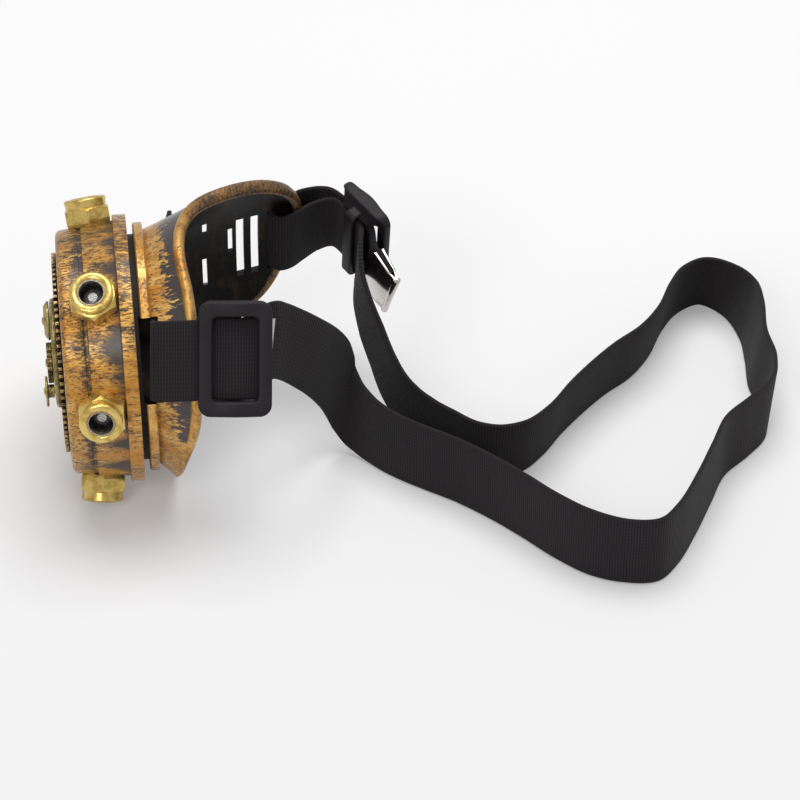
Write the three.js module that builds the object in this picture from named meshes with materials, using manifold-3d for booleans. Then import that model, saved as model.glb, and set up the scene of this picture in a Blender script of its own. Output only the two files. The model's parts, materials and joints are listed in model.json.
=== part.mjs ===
// A one-eyed goggle in the steampunk style, lying on a table: a screw-on bezel with six hex fittings
// and a gear ornament, a moulded eye cup, and an elastic head strap with two sliders.
// Millimetres, +Z up, table at z = 0. The lens axis runs along X and the bezel's front faces -X.
import * as THREE from "three";
import { mergeVertices } from "three/addons/utils/BufferGeometryUtils.js";
import Module from "manifold-3d";

const wasm = await Module();
wasm.setup();

const { degToRad, lerp } = THREE.MathUtils;
const { cos, sin, PI } = Math;

// Clearances
const seatGap = 0.3; // between fixed pieces that rest on each other
const threadGap = 0.4; // between the cup's neck and the bezel's bore
const pocketGap = 0.4; // round the lens and its gasket
const pinGap = 0.15; // round screws and rivets
const crimpGap = 0.15; // between a crimp and the strap it grips

// Lens and gasket
const lensRadius = 26.8;
const lensThickness = 2.5;
const lensDish = 0.6;
const gasketWidth = 2.4;
const gasketThickness = 1.4;

// Bezel: x = 0 is the front face of its rear flange; its walls stand on the bore that takes the neck
const flangeWall = 4.8;
const flangeWidth = 3.4;
const bandRearWall = 3.4;
const bandFrontWall = 1.8;
const bandLength = 14.6;
const bandFrontRound = 1.6;
const grooveSetback = 8.6;
const grooveWidth = 1;
const grooveDepth = 0.4;
const lipThickness = 2;
const lipOverlap = 4.2; // how far the front lip covers the lens

// Hex fittings on the band and the screws that hold them: angle up from the near side, setback from
// the rear flange. The goggle stands on the last two, half their step either side of straight down.
const fittingPlaces = [
  [7.2, 5.8],
  [56.5, 5.8],
  [120, 5.8],
  [180, 6.4],
  [240, 7],
  [300, 7],
];
const fittingAcrossFlats = 11;
const fittingHexHeight = 4;
const fittingCollarRadius = 5.4;
const fittingCollarHeight = 2.6;
const fittingChamfer = 0.6;
const fittingBoreRadius = 3;
const fittingFloor = 1.6;
const screwRadius = 1.5;
const screwHeadRadius = 2.3;
const screwHeadHeight = 1.4;
const screwDepth = 1.9;

// Gear ornament on the bezel's lip; heights stack from the lip towards the front
const ornamentAngle = 126;
const ringGearTeeth = 84;
const ringGearSeat = 2.8; // how far it lies on the lip
const ringGearTooth = 1.1;
const ringGearRimWidth = 3.8;
const ringGearHub = 12;
const ringGearSpokes = 5;
const ringGearSpokeWidth = 3.4;
const ringGearThickness = 1;
const wheelRadius = 14;
const wheelThickness = 1.2;
const wheelBevel = 0.5;
const wheelWindows = 6;
const wheelWindowRadius = 1.6;
const wheelWindowInset = 2.6;
const bossPlace = 8.3;
const bossRadius = 5;
const bossHeight = 1.4;
const cogPlace = -2.4;
const cogTeeth = 18;
const cogTip = 5.2;
const cogTooth = 0.9;
const cogThickness = 1.3;
const discPlace = -9.6;
const discRadius = 3.9;
const discHub = 1.7;
const discThickness = 0.6;
const rivetRadius = 0.8;
const rivetHeadRadius = 1.15;
const rivetHeadHeight = 0.4;

// Eye cup: steps are measured outwards, from the lens to the neck and from the neck to the rest
const neckStep = 2;
const neckWall = 2.5;
const flangeSpacing = 1.6;
const cupFlangeStep = 2.9;
const cupFlangeWidth = 2.4;
const cupWallStep = 1;
const cupWall = 2;
const rimBeadRadius = 1.45;
const rimBeadHalfWidth = 1.9;

// Where the strap's slots are, as angles up from the near side
const noseSlotAngle = 28;
const templeSlotAngle = 167;

// Rolled rim, at the middle of its bead: angle up from the near side, distance behind the cup's
// flange, distance out from the wall's start. The temple side, near 160 degrees, is the long one.
const rimStations = [
  [0, 9, 2.4],
  [noseSlotAngle, 9.6, 2.4],
  [55, 9.2, 2.4],
  [80, 8, 2.6],
  [100, 9.8, 3.4],
  [113, 14.1, 5.4],
  [122, 22.6, 7.8],
  [130, 31.1, 9],
  [140, 37.6, 9],
  [152, 40.6, 8.4],
  [templeSlotAngle, 39.2, 7.6],
  [183, 35.8, 7.4],
  [196, 30.8, 8],
  [205, 22.6, 7.2],
  [214, 14.6, 5.4],
  [228, 9.6, 3.8],
  [250, 6, 3],
  [280, 4.6, 2.8],
  [308, 4.2, 3.2],
  [335, 6.4, 2.6],
];

// Strap slots: the nose side has one short window behind the neck, the temple side three slots
const noseSlotLength = 4.8;
const noseSlotSetback = 0.6;
const templeSlotPlaces = [25.8, 29.7, 34.2];
const templeSlotLength = 2;
const slotSideGap = 0.7;
// Vents through the temple wall: distance behind the cup's flange, angle, length round the wall
const vents = [
  [16.4, 149.5, 3.8],
  [16.2, 179, 6.2],
  [23.2, 162.4, 6.2],
];
const ventWidth = 1.2;
const finAngle = 134;
const finPlace = 4.6;
const finLength = 4;
const finHeight = 3;
const finThickness = 1.2;

// Head strap, sliders and crimps
const strapWidth = 20;
const strapThickness = 1.2;
const layerPitch = 2.2;
const sliderLength = 18;
const sliderWidth = 28.4;
const sliderCorner = 3;
const sliderSideBar = 3.4;
const sliderPlate = 1.7;
const sliderRailDepth = 3.5;
const sliderCentreBar = 3.5;
const sliderCentreThickness = 1.5;
const sliderSideGap = 0.8;
const crimpLength = 9;
const nearCrimpLength = 3.4;
const crimpSheet = 0.4;
const nearSliderPlace = 27.1;
const nearSliderRise = 3.2; // from the wall's start out to the middle of the doubled strap
const nearSliderDrop = 0.2; // how far the near slider sits below the middle of its slot
const nearTailInset = 0.5; // how far the near tail ends short of its slider's edge
const farSliderCentre = new THREE.Vector3(63.9, 31, 43.8);
const farSliderHeading = new THREE.Vector3(0.54, -0.8, -0.27).normalize();
const farSliderUp = new THREE.Vector3(0, -0.32, 0.95).projectOnPlane(farSliderHeading).normalize();
const farTailEnd = new THREE.Vector3(71.2, 17, 35.9);
const farTailHeading = new THREE.Vector3(0.42, -0.73, -0.54).normalize();
const farTailUp = new THREE.Vector3(0, -0.59, 0.8).projectOnPlane(farTailHeading).normalize();

// Facets
const roundSegments = 56;
const smallSegments = 18;
const rimSteps = 68;
const wallSteps = 4;
const beadSides = 8;
const strapSubSteps = 2;

// Places that follow from the sizes above
const neckRadius = lensRadius + neckStep;
const boreRadius = neckRadius + threadGap;
const pocketRadius = lensRadius + pocketGap;
const lipRadius = lensRadius - lipOverlap;
const flangeRadius = boreRadius + flangeWall;
const bandRearRadius = boreRadius + bandRearWall;
const bandFrontRadius = boreRadius + bandFrontWall;
const ringGearTip = lipRadius + ringGearSeat;
const ringGearRim = ringGearTip - ringGearTooth - ringGearRimWidth;
const cupFlangeRadius = neckRadius + cupFlangeStep;
const cupWallRadius = neckRadius + cupWallStep;
const lensFront = -bandLength + lipThickness + seatGap;
const lensRear = lensFront + lensThickness;
const gasketFront = lensRear + seatGap;
const neckFront = gasketFront + gasketThickness + seatGap;
const boreFront = neckFront - pocketGap;
const cupFlangeFront = flangeWidth + flangeSpacing;
const cupWallFront = cupFlangeFront + cupFlangeWidth;
const bandTaper = Math.atan((bandRearRadius - bandFrontRadius) / bandLength);
const fittingHeight = fittingHexHeight + fittingCollarHeight;
const axisHeight = heightOnTwoFittings();
const wheelBase = ringGearThickness + seatGap;
const wheelFront = wheelBase + wheelThickness;
const trainBase = wheelFront + seatGap;
const discBase = trainBase + cogThickness + seatGap;
const rivetPlaces = { boss: bossPlace, ornament: cogPlace, disc: discPlace };
const barUnderside = layerPitch / 2 + strapThickness / 2 + crimpGap + crimpSheet + seatGap;
const centreBarTop = -(layerPitch / 2 + strapThickness / 2 + seatGap);
const slotWidth = strapWidth + 2 * slotSideGap;

function bandRadiusAt(x) {
  return lerp(bandRearRadius, bandFrontRadius, -x / bandLength);
}

// The goggle stands on the collars of the two fittings that point down, half a step either side.
function heightOnTwoFittings() {
  const [[angle, setback], [nextAngle]] = fittingPlaces.slice(-2);
  const half = degToRad(nextAngle - angle) / 2;
  const drop = cos(half) * cos(bandTaper);
  const tip = fittingHeight + seatGap;
  const edge = fittingCollarRadius - fittingChamfer / 2;
  return bandRadiusAt(-setback) * cos(half) + tip * drop + edge * Math.sqrt(1 - drop * drop);
}

function material(color, roughness, metalness) {
  return new THREE.MeshStandardMaterial({ color, roughness, metalness });
}

const finishes = {
  antiqueGold: () => material(0xb08a4a, 0.45, 0.5),
  brass: () => material(0xd2b356, 0.25, 1),
  darkBrass: () => material(0x4a4032, 0.5, 0.9),
  steel: () => material(0xc9c9c6, 0.25, 1),
  glass: () => material(0x2a2d2c, 0.08, 0),
  rubber: () => material(0x1c1b1b, 0.8, 0),
  elastic: () => material(0x1d1c1e, 0.9, 0),
  blackPlastic: () => material(0x232224, 0.55, 0),
};

// A mesh's geometry as a solid that can be joined and cut
function solid(geometry) {
  const bare = geometry.clone();
  bare.deleteAttribute("normal");
  bare.deleteAttribute("uv");
  const merged = mergeVertices(bare, 1e-4);
  const mesh = new wasm.Mesh({
    numProp: 3,
    vertProperties: merged.attributes.position.array,
    triVerts: new Uint32Array(merged.index.array),
  });
  return new wasm.Manifold(mesh);
}

function geometryOf(manifold) {
  const mesh = manifold.getMesh();
  const geometry = new THREE.BufferGeometry();
  geometry.setAttribute("position", new THREE.BufferAttribute(mesh.vertProperties, 3));
  geometry.setIndex(new THREE.BufferAttribute(mesh.triVerts, 1));
  geometry.computeVertexNormals();
  return geometry;
}

function joined(...geometries) {
  return geometryOf(geometries.map(solid).reduce((whole, piece) => whole.add(piece)));
}

function cutBy(geometry, cutters) {
  return geometryOf(cutters.map(solid).reduce((whole, piece) => whole.subtract(piece), solid(geometry)));
}

// A profile of [place along the axis, radius] that starts and ends on the axis or closes, turned round X
function turnedOnX(profile) {
  const points = profile.map(([along, radius]) => new THREE.Vector2(radius, along));
  return new THREE.LatheGeometry(points, roundSegments).rotateZ(-PI / 2);
}

// A profile of [radius, height] that starts and ends on the axis or closes, turned round Z
function turnedOnZ(profile, segments = smallSegments) {
  const points = profile.map(([radius, height]) => new THREE.Vector2(radius, height));
  return new THREE.LatheGeometry(points, segments).rotateX(PI / 2);
}

function box(x0, x1, y0, y1, z0, z1) {
  const made = new THREE.BoxGeometry(x1 - x0, y1 - y0, z1 - z0);
  return made.translate((x0 + x1) / 2, (y0 + y1) / 2, (z0 + z1) / 2);
}

function pinHole(x, y, radius, z0, z1) {
  const made = new THREE.CylinderGeometry(radius, radius, z1 - z0, smallSegments);
  return made.rotateX(PI / 2).translate(x, y, (z0 + z1) / 2);
}

// Rings of equally many points joined into one surface, capped at both ends or closed on itself
function loft(rings, capped) {
  const count = rings[0].length;
  const positions = rings.flat().flatMap((p) => [p.x, p.y, p.z]);
  const faces = [];
  const spans = capped ? rings.length - 1 : rings.length;
  for (let i = 0; i < spans; i++) {
    const next = (i + 1) % rings.length;
    for (let j = 0; j < count; j++) {
      const k = (j + 1) % count;
      const [a, b] = [i * count + j, i * count + k];
      const [c, d] = [next * count + j, next * count + k];
      faces.push(a, b, c, b, d, c);
    }
  }
  if (capped) {
    const last = (rings.length - 1) * count;
    for (let j = 1; j < count - 1; j++) {
      faces.push(0, j + 1, j, last, last + j, last + j + 1);
    }
  }
  const geometry = new THREE.BufferGeometry();
  geometry.setAttribute("position", new THREE.Float32BufferAttribute(positions, 3));
  geometry.setIndex(faces);
  geometry.computeVertexNormals();
  return geometry;
}

function node(parent, name, geometry, finish) {
  const mesh = new THREE.Mesh(geometry, finish());
  mesh.name = name;
  parent.add(mesh);
  return mesh;
}

// A point of the goggle by its angle up from the near side, in the lens axis's own frame
function around(angle, x, radius) {
  const turn = degToRad(angle);
  return new THREE.Vector3(x, -radius * cos(turn), radius * sin(turn));
}

// A group whose Z points out of the lens axis at an angle up from the near side
function radialGroup(angle) {
  const group = new THREE.Group();
  group.rotation.x = PI / 2 - degToRad(angle);
  return group;
}

// Frame of one fitting: Z out of the tapered band, origin on the band
function fittingGroup([angle, setback]) {
  const radial = radialGroup(angle);
  const seat = new THREE.Group();
  seat.position.set(-setback, 0, bandRadiusAt(-setback));
  seat.rotation.y = -bandTaper;
  radial.add(seat);
  radial.updateMatrixWorld(true);
  return { radial, seat };
}

function bezelRing() {
  const front = -bandLength;
  const roundCentre = [front + bandFrontRound, bandFrontRadius - bandFrontRound];
  const roundEdge = [180, 150, 120, 90].map((angle) => [
    roundCentre[0] + bandFrontRound * cos(degToRad(angle)),
    roundCentre[1] + bandFrontRound * sin(degToRad(angle)),
  ]);
  const grooveRear = -grooveSetback + grooveWidth / 2;
  const grooveFront = -grooveSetback - grooveWidth / 2;
  const profile = [
    [flangeWidth, boreRadius],
    [boreFront, boreRadius],
    [boreFront, pocketRadius],
    [front + lipThickness, pocketRadius],
    [front + lipThickness, lipRadius],
    [front, lipRadius],
    ...roundEdge,
    [grooveFront, bandRadiusAt(grooveFront)],
    [grooveFront, bandRadiusAt(grooveFront) - grooveDepth],
    [grooveRear, bandRadiusAt(grooveRear) - grooveDepth],
    [grooveRear, bandRadiusAt(grooveRear)],
    [0, bandRearRadius],
    [0, flangeRadius],
    [flangeWidth, flangeRadius],
    [flangeWidth, boreRadius],
  ];
  const holes = fittingPlaces.map((place) => {
    const depth = screwDepth + seatGap;
    const hole = pinHole(0, 0, screwRadius + pinGap, -depth, screwHeadRadius);
    return hole.applyMatrix4(fittingGroup(place).seat.matrixWorld);
  });
  return cutBy(turnedOnX(profile), holes);
}

function lens() {
  return turnedOnX([
    [lensFront, 0],
    [lensFront, lensRadius],
    [lensRear, lensRadius],
    [lensRear - lensDish, 0],
  ]);
}

function gasket() {
  const inside = lensRadius - gasketWidth;
  return turnedOnX([
    [gasketFront, inside],
    [gasketFront, lensRadius],
    [gasketFront + gasketThickness, lensRadius],
    [gasketFront + gasketThickness, inside],
    [gasketFront, inside],
  ]);
}

// One fitting, its base at z = 0: a hexagon, a round collar and a blind bore with a screw hole
function hexFitting() {
  const corner = fittingAcrossFlats / 2 / cos(PI / 6);
  const hexagon = new THREE.CylinderGeometry(corner, corner, fittingHexHeight, 6);
  hexagon.rotateX(PI / 2).translate(0, 0, fittingHexHeight / 2);
  const collar = turnedOnZ([
    [0, fittingHexHeight / 2],
    [fittingCollarRadius, fittingHexHeight / 2],
    [fittingCollarRadius, fittingHeight - fittingChamfer],
    [fittingCollarRadius - fittingChamfer, fittingHeight],
    [0, fittingHeight],
  ]);
  const bore = pinHole(0, 0, fittingBoreRadius, fittingFloor, fittingHeight + fittingFloor);
  const hole = pinHole(0, 0, screwRadius + pinGap, -fittingFloor, 2 * fittingFloor);
  return cutBy(joined(hexagon, collar), [bore, hole]);
}

// The screw of one fitting, in the fitting's frame
function fittingScrew() {
  const under = fittingFloor + pinGap;
  return turnedOnZ([
    [0, -screwDepth - seatGap + pinGap],
    [screwRadius, -screwDepth - seatGap + pinGap],
    [screwRadius, under],
    [screwHeadRadius, under],
    [screwHeadRadius, under + screwHeadHeight / 2],
    [screwHeadRadius / 2, under + screwHeadHeight],
    [0, under + screwHeadHeight],
  ]);
}

function gearOutline(shape, teeth, tip, depth) {
  const root = tip - depth;
  const step = (2 * PI) / teeth;
  const corners = [
    [0, root],
    [0.3, root],
    [0.45, tip],
    [0.85, tip],
  ];
  for (let tooth = 0; tooth < teeth; tooth++) {
    for (const [share, radius] of corners) {
      const angle = (tooth + share) * step;
      const to = tooth === 0 && share === 0 ? "moveTo" : "lineTo";
      shape[to](radius * cos(angle), radius * sin(angle));
    }
  }
  return shape;
}

function roundHole(x, y, radius) {
  return new THREE.Path().absarc(x, y, radius, 0, 2 * PI, true);
}

function plate(shape, thickness, height, segments = smallSegments / 2) {
  const settings = { depth: thickness, bevelEnabled: false, curveSegments: segments };
  return new THREE.ExtrudeGeometry(shape, settings).translate(0, 0, height);
}

function ringGear() {
  const shape = gearOutline(new THREE.Shape(), ringGearTeeth, ringGearTip, ringGearTooth);
  for (let spoke = 0; spoke < ringGearSpokes; spoke++) {
    const start = ((2 * PI) / ringGearSpokes) * spoke;
    const end = start + (2 * PI) / ringGearSpokes;
    const outerTrim = ringGearSpokeWidth / 2 / ringGearRim;
    const innerTrim = ringGearSpokeWidth / 2 / ringGearHub;
    const opening = new THREE.Path();
    opening.absarc(0, 0, ringGearRim, start + outerTrim, end - outerTrim, false);
    opening.absarc(0, 0, ringGearHub, end - innerTrim, start + innerTrim, true);
    opening.closePath();
    shape.holes.push(opening);
  }
  for (const place of Object.values(rivetPlaces)) {
    shape.holes.push(roundHole(place, 0, rivetRadius + pinGap));
  }
  return plate(shape, ringGearThickness, 0);
}

function brassWheel() {
  const body = turnedOnZ(
    [
      [0, wheelBase],
      [wheelRadius, wheelBase],
      [wheelRadius, wheelFront - wheelBevel],
      [wheelRadius - wheelBevel, wheelFront],
      [0, wheelFront],
    ],
    roundSegments,
  );
  const holes = Object.values(rivetPlaces).map((place) =>
    pinHole(place, 0, rivetRadius + pinGap, 0, trainBase),
  );
  const circle = wheelRadius - wheelWindowInset;
  for (let window = 0; window < wheelWindows; window++) {
    const angle = ((window + 0.5) / wheelWindows) * 2 * PI;
    holes.push(pinHole(circle * cos(angle), circle * sin(angle), wheelWindowRadius, 0, trainBase));
  }
  return cutBy(body, holes);
}

function upperBoss() {
  const hole = rivetRadius + pinGap;
  const top = trainBase + bossHeight;
  return turnedOnZ([
    [hole, trainBase],
    [bossRadius, trainBase],
    [bossRadius, trainBase + bossHeight * 0.35],
    [bossRadius * 0.8, trainBase + bossHeight * 0.75],
    [bossRadius * 0.5, top],
    [hole, top],
    [hole, trainBase],
  ]);
}

function centreCog() {
  const shape = gearOutline(new THREE.Shape(), cogTeeth, cogTip, cogTooth);
  shape.holes.push(roundHole(0, 0, rivetRadius + pinGap));
  return plate(shape, cogThickness, trainBase);
}

// A flat button on a hub that stands beside the cog
function lowerDisc() {
  const hole = rivetRadius + pinGap;
  return turnedOnZ([
    [hole, trainBase],
    [discHub, trainBase],
    [discHub, discBase],
    [discRadius, discBase],
    [discRadius, discBase + discThickness],
    [hole, discBase + discThickness],
    [hole, trainBase],
  ]);
}

// A rivet from the ring gear's back to its head on the piece that ends at the given height
function rivet(seat) {
  const under = seat + pinGap;
  return turnedOnZ(
    [
      [0, pinGap],
      [rivetRadius, pinGap],
      [rivetRadius, under],
      [rivetHeadRadius, under],
      [rivetHeadRadius, under + rivetHeadHeight / 2],
      [rivetHeadRadius / 2, under + rivetHeadHeight],
      [0, under + rivetHeadHeight],
    ],
    smallSegments / 2,
  );
}

function ornament(parent) {
  const turn = radialGroup(ornamentAngle);
  const face = new THREE.Group();
  face.position.x = -bandLength - seatGap;
  face.rotation.y = -PI / 2;
  turn.add(face);
  parent.add(turn);
  node(face, "ring_gear", ringGear(), finishes.darkBrass);
  node(face, "brass_wheel", brassWheel(), finishes.brass);
  node(face, "upper_boss", upperBoss(), finishes.brass).position.x = bossPlace;
  node(face, "centre_cog", centreCog(), finishes.darkBrass).position.x = cogPlace;
  node(face, "lower_disc", lowerDisc(), finishes.brass).position.x = discPlace;
  const seats = {
    boss: trainBase + bossHeight,
    ornament: trainBase + cogThickness,
    disc: discBase + discThickness,
  };
  for (const [name, place] of Object.entries(rivetPlaces)) {
    node(face, name + "_rivet", rivet(seats[name]), finishes.steel).position.x = place;
  }
}

// The rim's middle line, as angles, reaches and radii sampled along one smooth closed curve
function rimSamples() {
  const stations = rimStations.map(([angle, reach, out]) =>
    around(angle, cupWallFront + reach, cupWallRadius + out),
  );
  const curve = new THREE.CatmullRomCurve3(stations, true, "centripetal");
  return [...Array(rimSteps).keys()].map((i) => {
    const point = curve.getPoint(i / rimSteps);
    const tangent = curve.getTangent(i / rimSteps);
    const outward = new THREE.Vector3(0, point.y, point.z).normalize();
    return { point, tangent, outward, radius: Math.hypot(point.y, point.z) };
  });
}

function eyeCup() {
  const rim = rimSamples();
  const ring = (x, radius) => rim.map(({ outward }) => outward.clone().multiplyScalar(radius).setX(x));
  const wallRing = (share, skin) =>
    rim.map(({ point, outward, radius }) => {
      const reach = lerp(cupWallRadius - cupWall / 2, radius, share);
      const x = lerp(cupWallFront, point.x, share);
      return outward.clone().multiplyScalar(reach + skin).setX(x);
    });
  const shares = [...Array(wallSteps + 1).keys()].map((step) => step / wallSteps);
  const rings = [
    ring(neckFront, neckRadius - neckWall),
    ring(cupFlangeFront, neckRadius - neckWall),
    ...shares.map((share) => wallRing(share, -cupWall / 2)),
    ...shares.toReversed().map((share) => wallRing(share, cupWall / 2)),
    ring(cupWallFront, cupFlangeRadius),
    ring(cupFlangeFront, cupFlangeRadius),
    ring(cupFlangeFront, neckRadius),
    ring(neckFront, neckRadius),
  ];
  const bead = rim.map(({ point, tangent, outward }) => {
    const across = new THREE.Vector3().crossVectors(tangent, outward).normalize();
    const out = new THREE.Vector3().crossVectors(across, tangent);
    return [...Array(beadSides).keys()].map((side) => {
      const angle = ((side + 0.5) / beadSides) * 2 * PI;
      const place = point.clone().addScaledVector(out, rimBeadRadius * cos(angle));
      return place.addScaledVector(across, rimBeadHalfWidth * sin(angle));
    });
  });
  const finFoot = cupWallRadius - cupWall;
  const fin = onWall(
    box(0, finLength, -finThickness / 2, finThickness / 2, finFoot, cupFlangeRadius + finHeight),
    finAngle,
    cupWallFront + finPlace,
  );
  const body = joined(loft(rings, false), loft(bead, false), fin);
  return cutBy(body, [...strapSlotCutters(), ...ventCutters()]);
}

// Moves a piece made round the Z axis to an angle on the cup's wall, at a place along the lens axis
function onWall(geometry, angle, x) {
  return geometry.translate(x, 0, 0).rotateX(PI / 2 - degToRad(angle));
}

function strapSlotCutters() {
  const inside = neckRadius - 3 * neckWall;
  const outside = flangeRadius + cupFlangeRadius / 2;
  const half = slotWidth / 2;
  const cutter = (length) => box(0, length, -half, half, inside, outside);
  const noseSlot = onWall(cutter(noseSlotLength), noseSlotAngle, cupFlangeFront - noseSlotSetback);
  const templeSlots = templeSlotPlaces.map((place) =>
    onWall(cutter(templeSlotLength), templeSlotAngle, cupWallFront + place - templeSlotLength / 2),
  );
  return [noseSlot, ...templeSlots];
}

function ventCutters() {
  return vents.map(([place, angle, length]) => {
    const outside = flangeRadius + cupFlangeRadius / 2;
    const cutter = box(-ventWidth / 2, ventWidth / 2, -length / 2, length / 2, neckRadius, outside);
    return onWall(cutter, angle, cupWallFront + place);
  });
}

// A point of the strap where it lies on the cup: at a slot's angle, a distance out of the lens axis
function strapOnCup(angle, x, reach, shift = 0) {
  const turn = degToRad(angle);
  const along = new THREE.Vector3(0, sin(turn), cos(turn)).multiplyScalar(shift);
  const point = around(angle, x, reach).add(along);
  point.z += axisHeight;
  return point;
}

const noseUp = new THREE.Vector3(0, sin(degToRad(noseSlotAngle)), cos(degToRad(noseSlotAngle)));
const templeUp = new THREE.Vector3(0, -sin(degToRad(templeSlotAngle)), -cos(degToRad(templeSlotAngle)));

// Frame of each slider: along the strap, across it, and out of it
const nearSliderFrame = {
  centre: strapOnCup(noseSlotAngle, nearSliderPlace, cupWallRadius + nearSliderRise, -nearSliderDrop),
  along: new THREE.Vector3(1, 0, 0),
  up: noseUp,
};
const farSliderFrame = {
  centre: farSliderCentre,
  along: farSliderHeading.clone().negate(),
  up: farSliderUp,
};

function inFrame(frame, along, out, shift = 0) {
  const outward = new THREE.Vector3().crossVectors(frame.along, frame.up);
  const point = frame.centre.clone().addScaledVector(frame.along, along);
  return point.addScaledVector(outward, out).addScaledVector(frame.up, shift);
}

// The strap's fold through the nose slot, from the rim in and back out: distance behind the slot's
// rear edge, distance under the strap's lay on the rim
const noseFold = [
  [3.2, 1.2],
  [-0.2, 2.4],
  [-2.8, 4],
  [-3.5, 6.2],
  [-2, 8.4],
  [1, 9.5],
  [5, 8],
];
// Out from under the near slider: place in the slider's frame, along, out and up from the strap's
// middle line, then how far its top edge tips in x and in y for each millimetre up
const nearRun = [
  [7.3, -2.7, 2.05, 0.02, 0.5],
  [10.1, -5.4, 2.85, 0.08, 0.38],
];
// Free loop of the strap, from there down to the table and round to the far slider: x, y and z of
// its middle line, then the tip of its top edge
const freeLoop = [
  [40.1, -20.3, 48.6, 0.15, 0.34],
  [43.7, -17, 44.1, 0.22, 0.34],
  [47.9, -13, 38.3, 0.3, 0.36],
  [51.9, -7.4, 30.9, 0.41, 0.52],
  [54.8, -2.4, 23.5, 0.48, 0.64],
  [56.6, -0.2, 17.2, 0.42, 0.6],
  [58, -1, 13.4, 0.26, 0.37],
  [60, -4, 11.4, 0.14, 0.18],
  [63.5, -9.5, 10.4, 0.07, 0.08],
  [68.2, -15.6, 10.3, 0.03, 0.05],
  [74.2, -21.2, 10.3, 0, 0.05],
  [82.4, -28, 10.3, 0, 0.05],
  [90.2, -36, 10.3, 0, 0.05],
  [97.4, -44.8, 10.3, 0, 0.05],
  [104, -53.6, 10.3, 0, 0.05],
  [111.4, -61.2, 10.3, 0, 0.05],
  [119.6, -65.6, 10.3, 0, 0],
  [127.4, -66.2, 10.3, 0, 0],
  [133.4, -60.6, 10.3, 0, 0],
  [140.4, -49.6, 10.3, 0, 0],
  [147, -37.6, 10.3, 0, 0],
  [153, -26.8, 10.3, 0, 0],
  [160.8, -19.6, 10.3, 0, 0],
  [167.6, -12.4, 10.3, 0.05, 0],
  [170.4, -2, 10.3, 0.1, 0],
  [170.2, 10, 10.3, 0.15, 0],
  [172.2, 22.6, 10.3, 0.17, 0],
  [172.8, 33, 10.3, 0.15, -0.05],
  [170, 42.6, 10.2, 0.08, -0.2],
  [163.4, 48.4, 10.2, 0, -0.28],
  [156.2, 45, 10.2, 0.03, -0.25],
  [150.6, 37.4, 10.2, 0.1, -0.18],
  [144.8, 26.2, 10.2, 0.12, -0.16],
  [138, 17.4, 10.2, 0.12, -0.16],
  [129.6, 10.4, 10.2, 0.1, -0.18],
  [122.4, 3.2, 10.2, 0.1, -0.18],
  [115.2, -5, 10.2, 0.1, -0.18],
  [108.2, -14.2, 10.2, 0.1, -0.18],
  [101.4, -20.2, 10.2, 0.05, -0.2],
  [94.8, -21.6, 10.2, 0, -0.2],
  [89.4, -19.9, 10.2, -0.05, -0.15],
  [83.9, -14.8, 10.4, -0.04, -0.13],
  [77.7, -8.2, 11.2, 0.05, -0.24],
  [73.1, -2.8, 13.5, 0.21, -0.5],
  [70, 1.6, 17.2, 0.3, -0.82],
  [67.7, 6.1, 22.2, 0.3, -1.05],
  [65.5, 10.9, 28.1, 0.3, -1.13],
  [63.7, 16, 34.5, 0.17, -1.16],
  [63.3, 20.2, 39.1, 0, -0.95],
  [63.9, 24.6, 42.3, 0, -0.5],
];
// Far stretch between the slider and the cup: the inner layer goes in, the outer one comes back
const farInner = [
  [54.4, 37.2, 45, 0, -0.3],
  [50.2, 35, 44.2, 0, -0.25],
];
const farOuter = [
  [50.2, 42.4, 45, 0, -0.25],
  [54.8, 42.8, 45.6, 0, -0.28],
  [57.8, 40.6, 46.7, 0, -0.32],
];

// Half the flat strap's width spans a round wall: how far out of the axis its middle then lies
function chordReach(radius) {
  return Math.sqrt(radius ** 2 - (strapWidth / 2) ** 2);
}

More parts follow.
